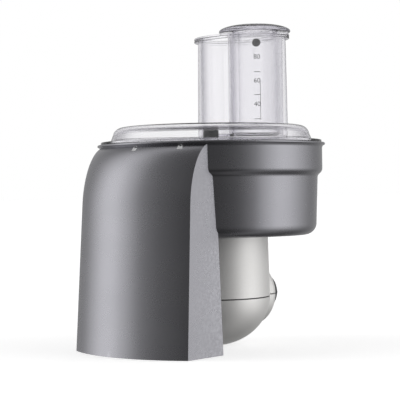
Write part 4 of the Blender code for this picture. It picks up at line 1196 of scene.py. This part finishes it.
def make_light():
    """Studio light as a smooth world: two large soft boxes at the sides, dark behind the camera."""
    graph = Graph("studio", bpy.data.worlds, "Generated")
    bpy.context.scene.world = graph.owner

    def centred(value, scale):
        return graph.node("ShaderNodeMath", {0: value, 1: scale, 2: 0.5}, operation="MULTIPLY_ADD").outputs[0]

    def ramp(value, stops, half):
        made = graph.node("ShaderNodeValToRGB", {0: value})
        made.color_ramp.interpolation = "EASE"
        elements = made.color_ramp.elements
        while len(elements) < len(stops):
            elements.new(0.5)
        for element, (place, level) in zip(elements, stops):
            element.position = (place + half) / (2 * half)
            element.color = rgb(level, level, level, top=math.inf)
        return made.outputs[0]

    split = graph.node("ShaderNodeSeparateXYZ", {0: graph.place}).outputs
    turn = graph.math("ARCTAN2", split[0], graph.math("MULTIPLY", split[1], -1.0))
    tall = centred(split[2], 0.5)
    sides = ramp(centred(turn, 1.0 / math.tau), SIDE_LIGHT, 180)
    both = graph.math("MULTIPLY", sides, ramp(tall, TALL_LIGHT, 1))
    total = graph.math("ADD", both, ramp(tall, FILL_LIGHT, 1))
    background = graph.nodes["Background"].inputs
    graph.feed(background["Color"], total)
    background["Strength"].default_value = LIGHT_STRENGTH


def swing(one, two, degrees):
    """Turn two axes of a frame in their own plane."""
    angle = math.radians(degrees)
    return one * math.cos(angle) + two * math.sin(angle), two * math.cos(angle) - one * math.sin(angle)


def make_camera():
    """Three-quarter view from the front, nearly level, with a long lens."""
    turn = math.radians(CAMERA_TURN)
    ahead = Vector((-math.sin(turn), math.cos(turn), 0))
    place = -ahead * CAMERA_FAR
    place.z = CAMERA_HIGH
    ahead, right = swing(ahead, Vector((math.cos(turn), math.sin(turn), 0)), CAMERA_YAW)
    ahead, up = swing(ahead, Vector((0, 0, 1)), CAMERA_PITCH)
    right, up = swing(right, up, CAMERA_ROLL)
    data = bpy.data.cameras.new("camera")
    data.lens = CAMERA_LENS
    data.sensor_width = 36.0
    data.clip_end = 200.0
    camera = bpy.data.objects.new("camera", data)
    bpy.context.scene.collection.objects.link(camera)
    camera.matrix_world = Matrix.Translation(place) @ Matrix((right, up, -ahead)).transposed().to_4x4()
    bpy.context.scene.camera = camera


PRINT_LIFT = 0.00002  # smallest height of a print above its surface
PRINT_THICK = 0.00006
WALK_STEPS = 24  # steps for going up the curved shoulder
MARK_WIDE = 1.45
MARK_TALL = 1.5
PADLOCKS = (("mark_open", 1.6, 0.1706, 38), ("mark_locked", 25.6, 0.1709, 0))
NUMBER_SIZE = 0.0058
SCALE_TURN = 42.5
SCALE_EDGE = 0.0027
SCALE_TICKS = (0.2392, 0.219, 0.1976)
SCALE_LINE = (0.2316, 0.1969)
SCALE_NUMBERS = (("80", 0.2526), ("60", 0.2316), ("40", 0.2109))
FLOOR_GLOW = 0.62
CAMERA_TURN = 40.08  # degrees from straight ahead of the chute
CAMERA_FAR = 1.202
CAMERA_HIGH = 0.1335
CAMERA_LENS = 122.7
CAMERA_YAW = -0.5
CAMERA_PITCH = -0.32
CAMERA_ROLL = -0.84
LIGHT_STRENGTH = 1.4
# Light at each angle round the object (degrees), and at each height from -1 straight down to 1 straight up.
SIDE_LIGHT = [(-180, 0.26), (-140, 0.34), (-116, 0.34), (-98, 0.27), (-87, 0.36), (-76, 0.8),
              (-62, 1.34), (-50, 1.4), (-38, 0.92), (-20, 0.28), (0, 0.14), (22, 0.06), (48, 0.05),
              (66, 0.1), (84, 0.3), (100, 0.9), (116, 1.26), (130, 1.14), (143, 0.8), (158, 0.5),
              (170, 0.28), (180, 0.26)]
TALL_LIGHT = [(-1.0, 0.15), (-0.7, 0.25), (-0.35, 0.75), (-0.1, 1.0), (0.35, 1.0), (0.65, 0.75),
              (0.87, 0.45), (1.0, 0.45)]
FILL_LIGHT = [(-1.0, 0.02), (0.0, 0.03), (0.6, 0.05), (1.0, 0.1)]

make_camera()
make_shells()
settle_all(make_paints())
make_marks(printed("mark_print", (0.95, 0.95, 0.96), (0.86, 0.86, 0.87)))
make_scale(printed("scale_print", (0.1, 0.1, 0.11), (0.16, 0.16, 0.17)))
make_stage()
make_light()
scene = bpy.context.scene
scene.view_settings.view_transform = "Standard"
scene.cycles.max_bounces = 40
scene.cycles.transmission_bounces = 40
scene.cycles.transparent_max_bounces = 24
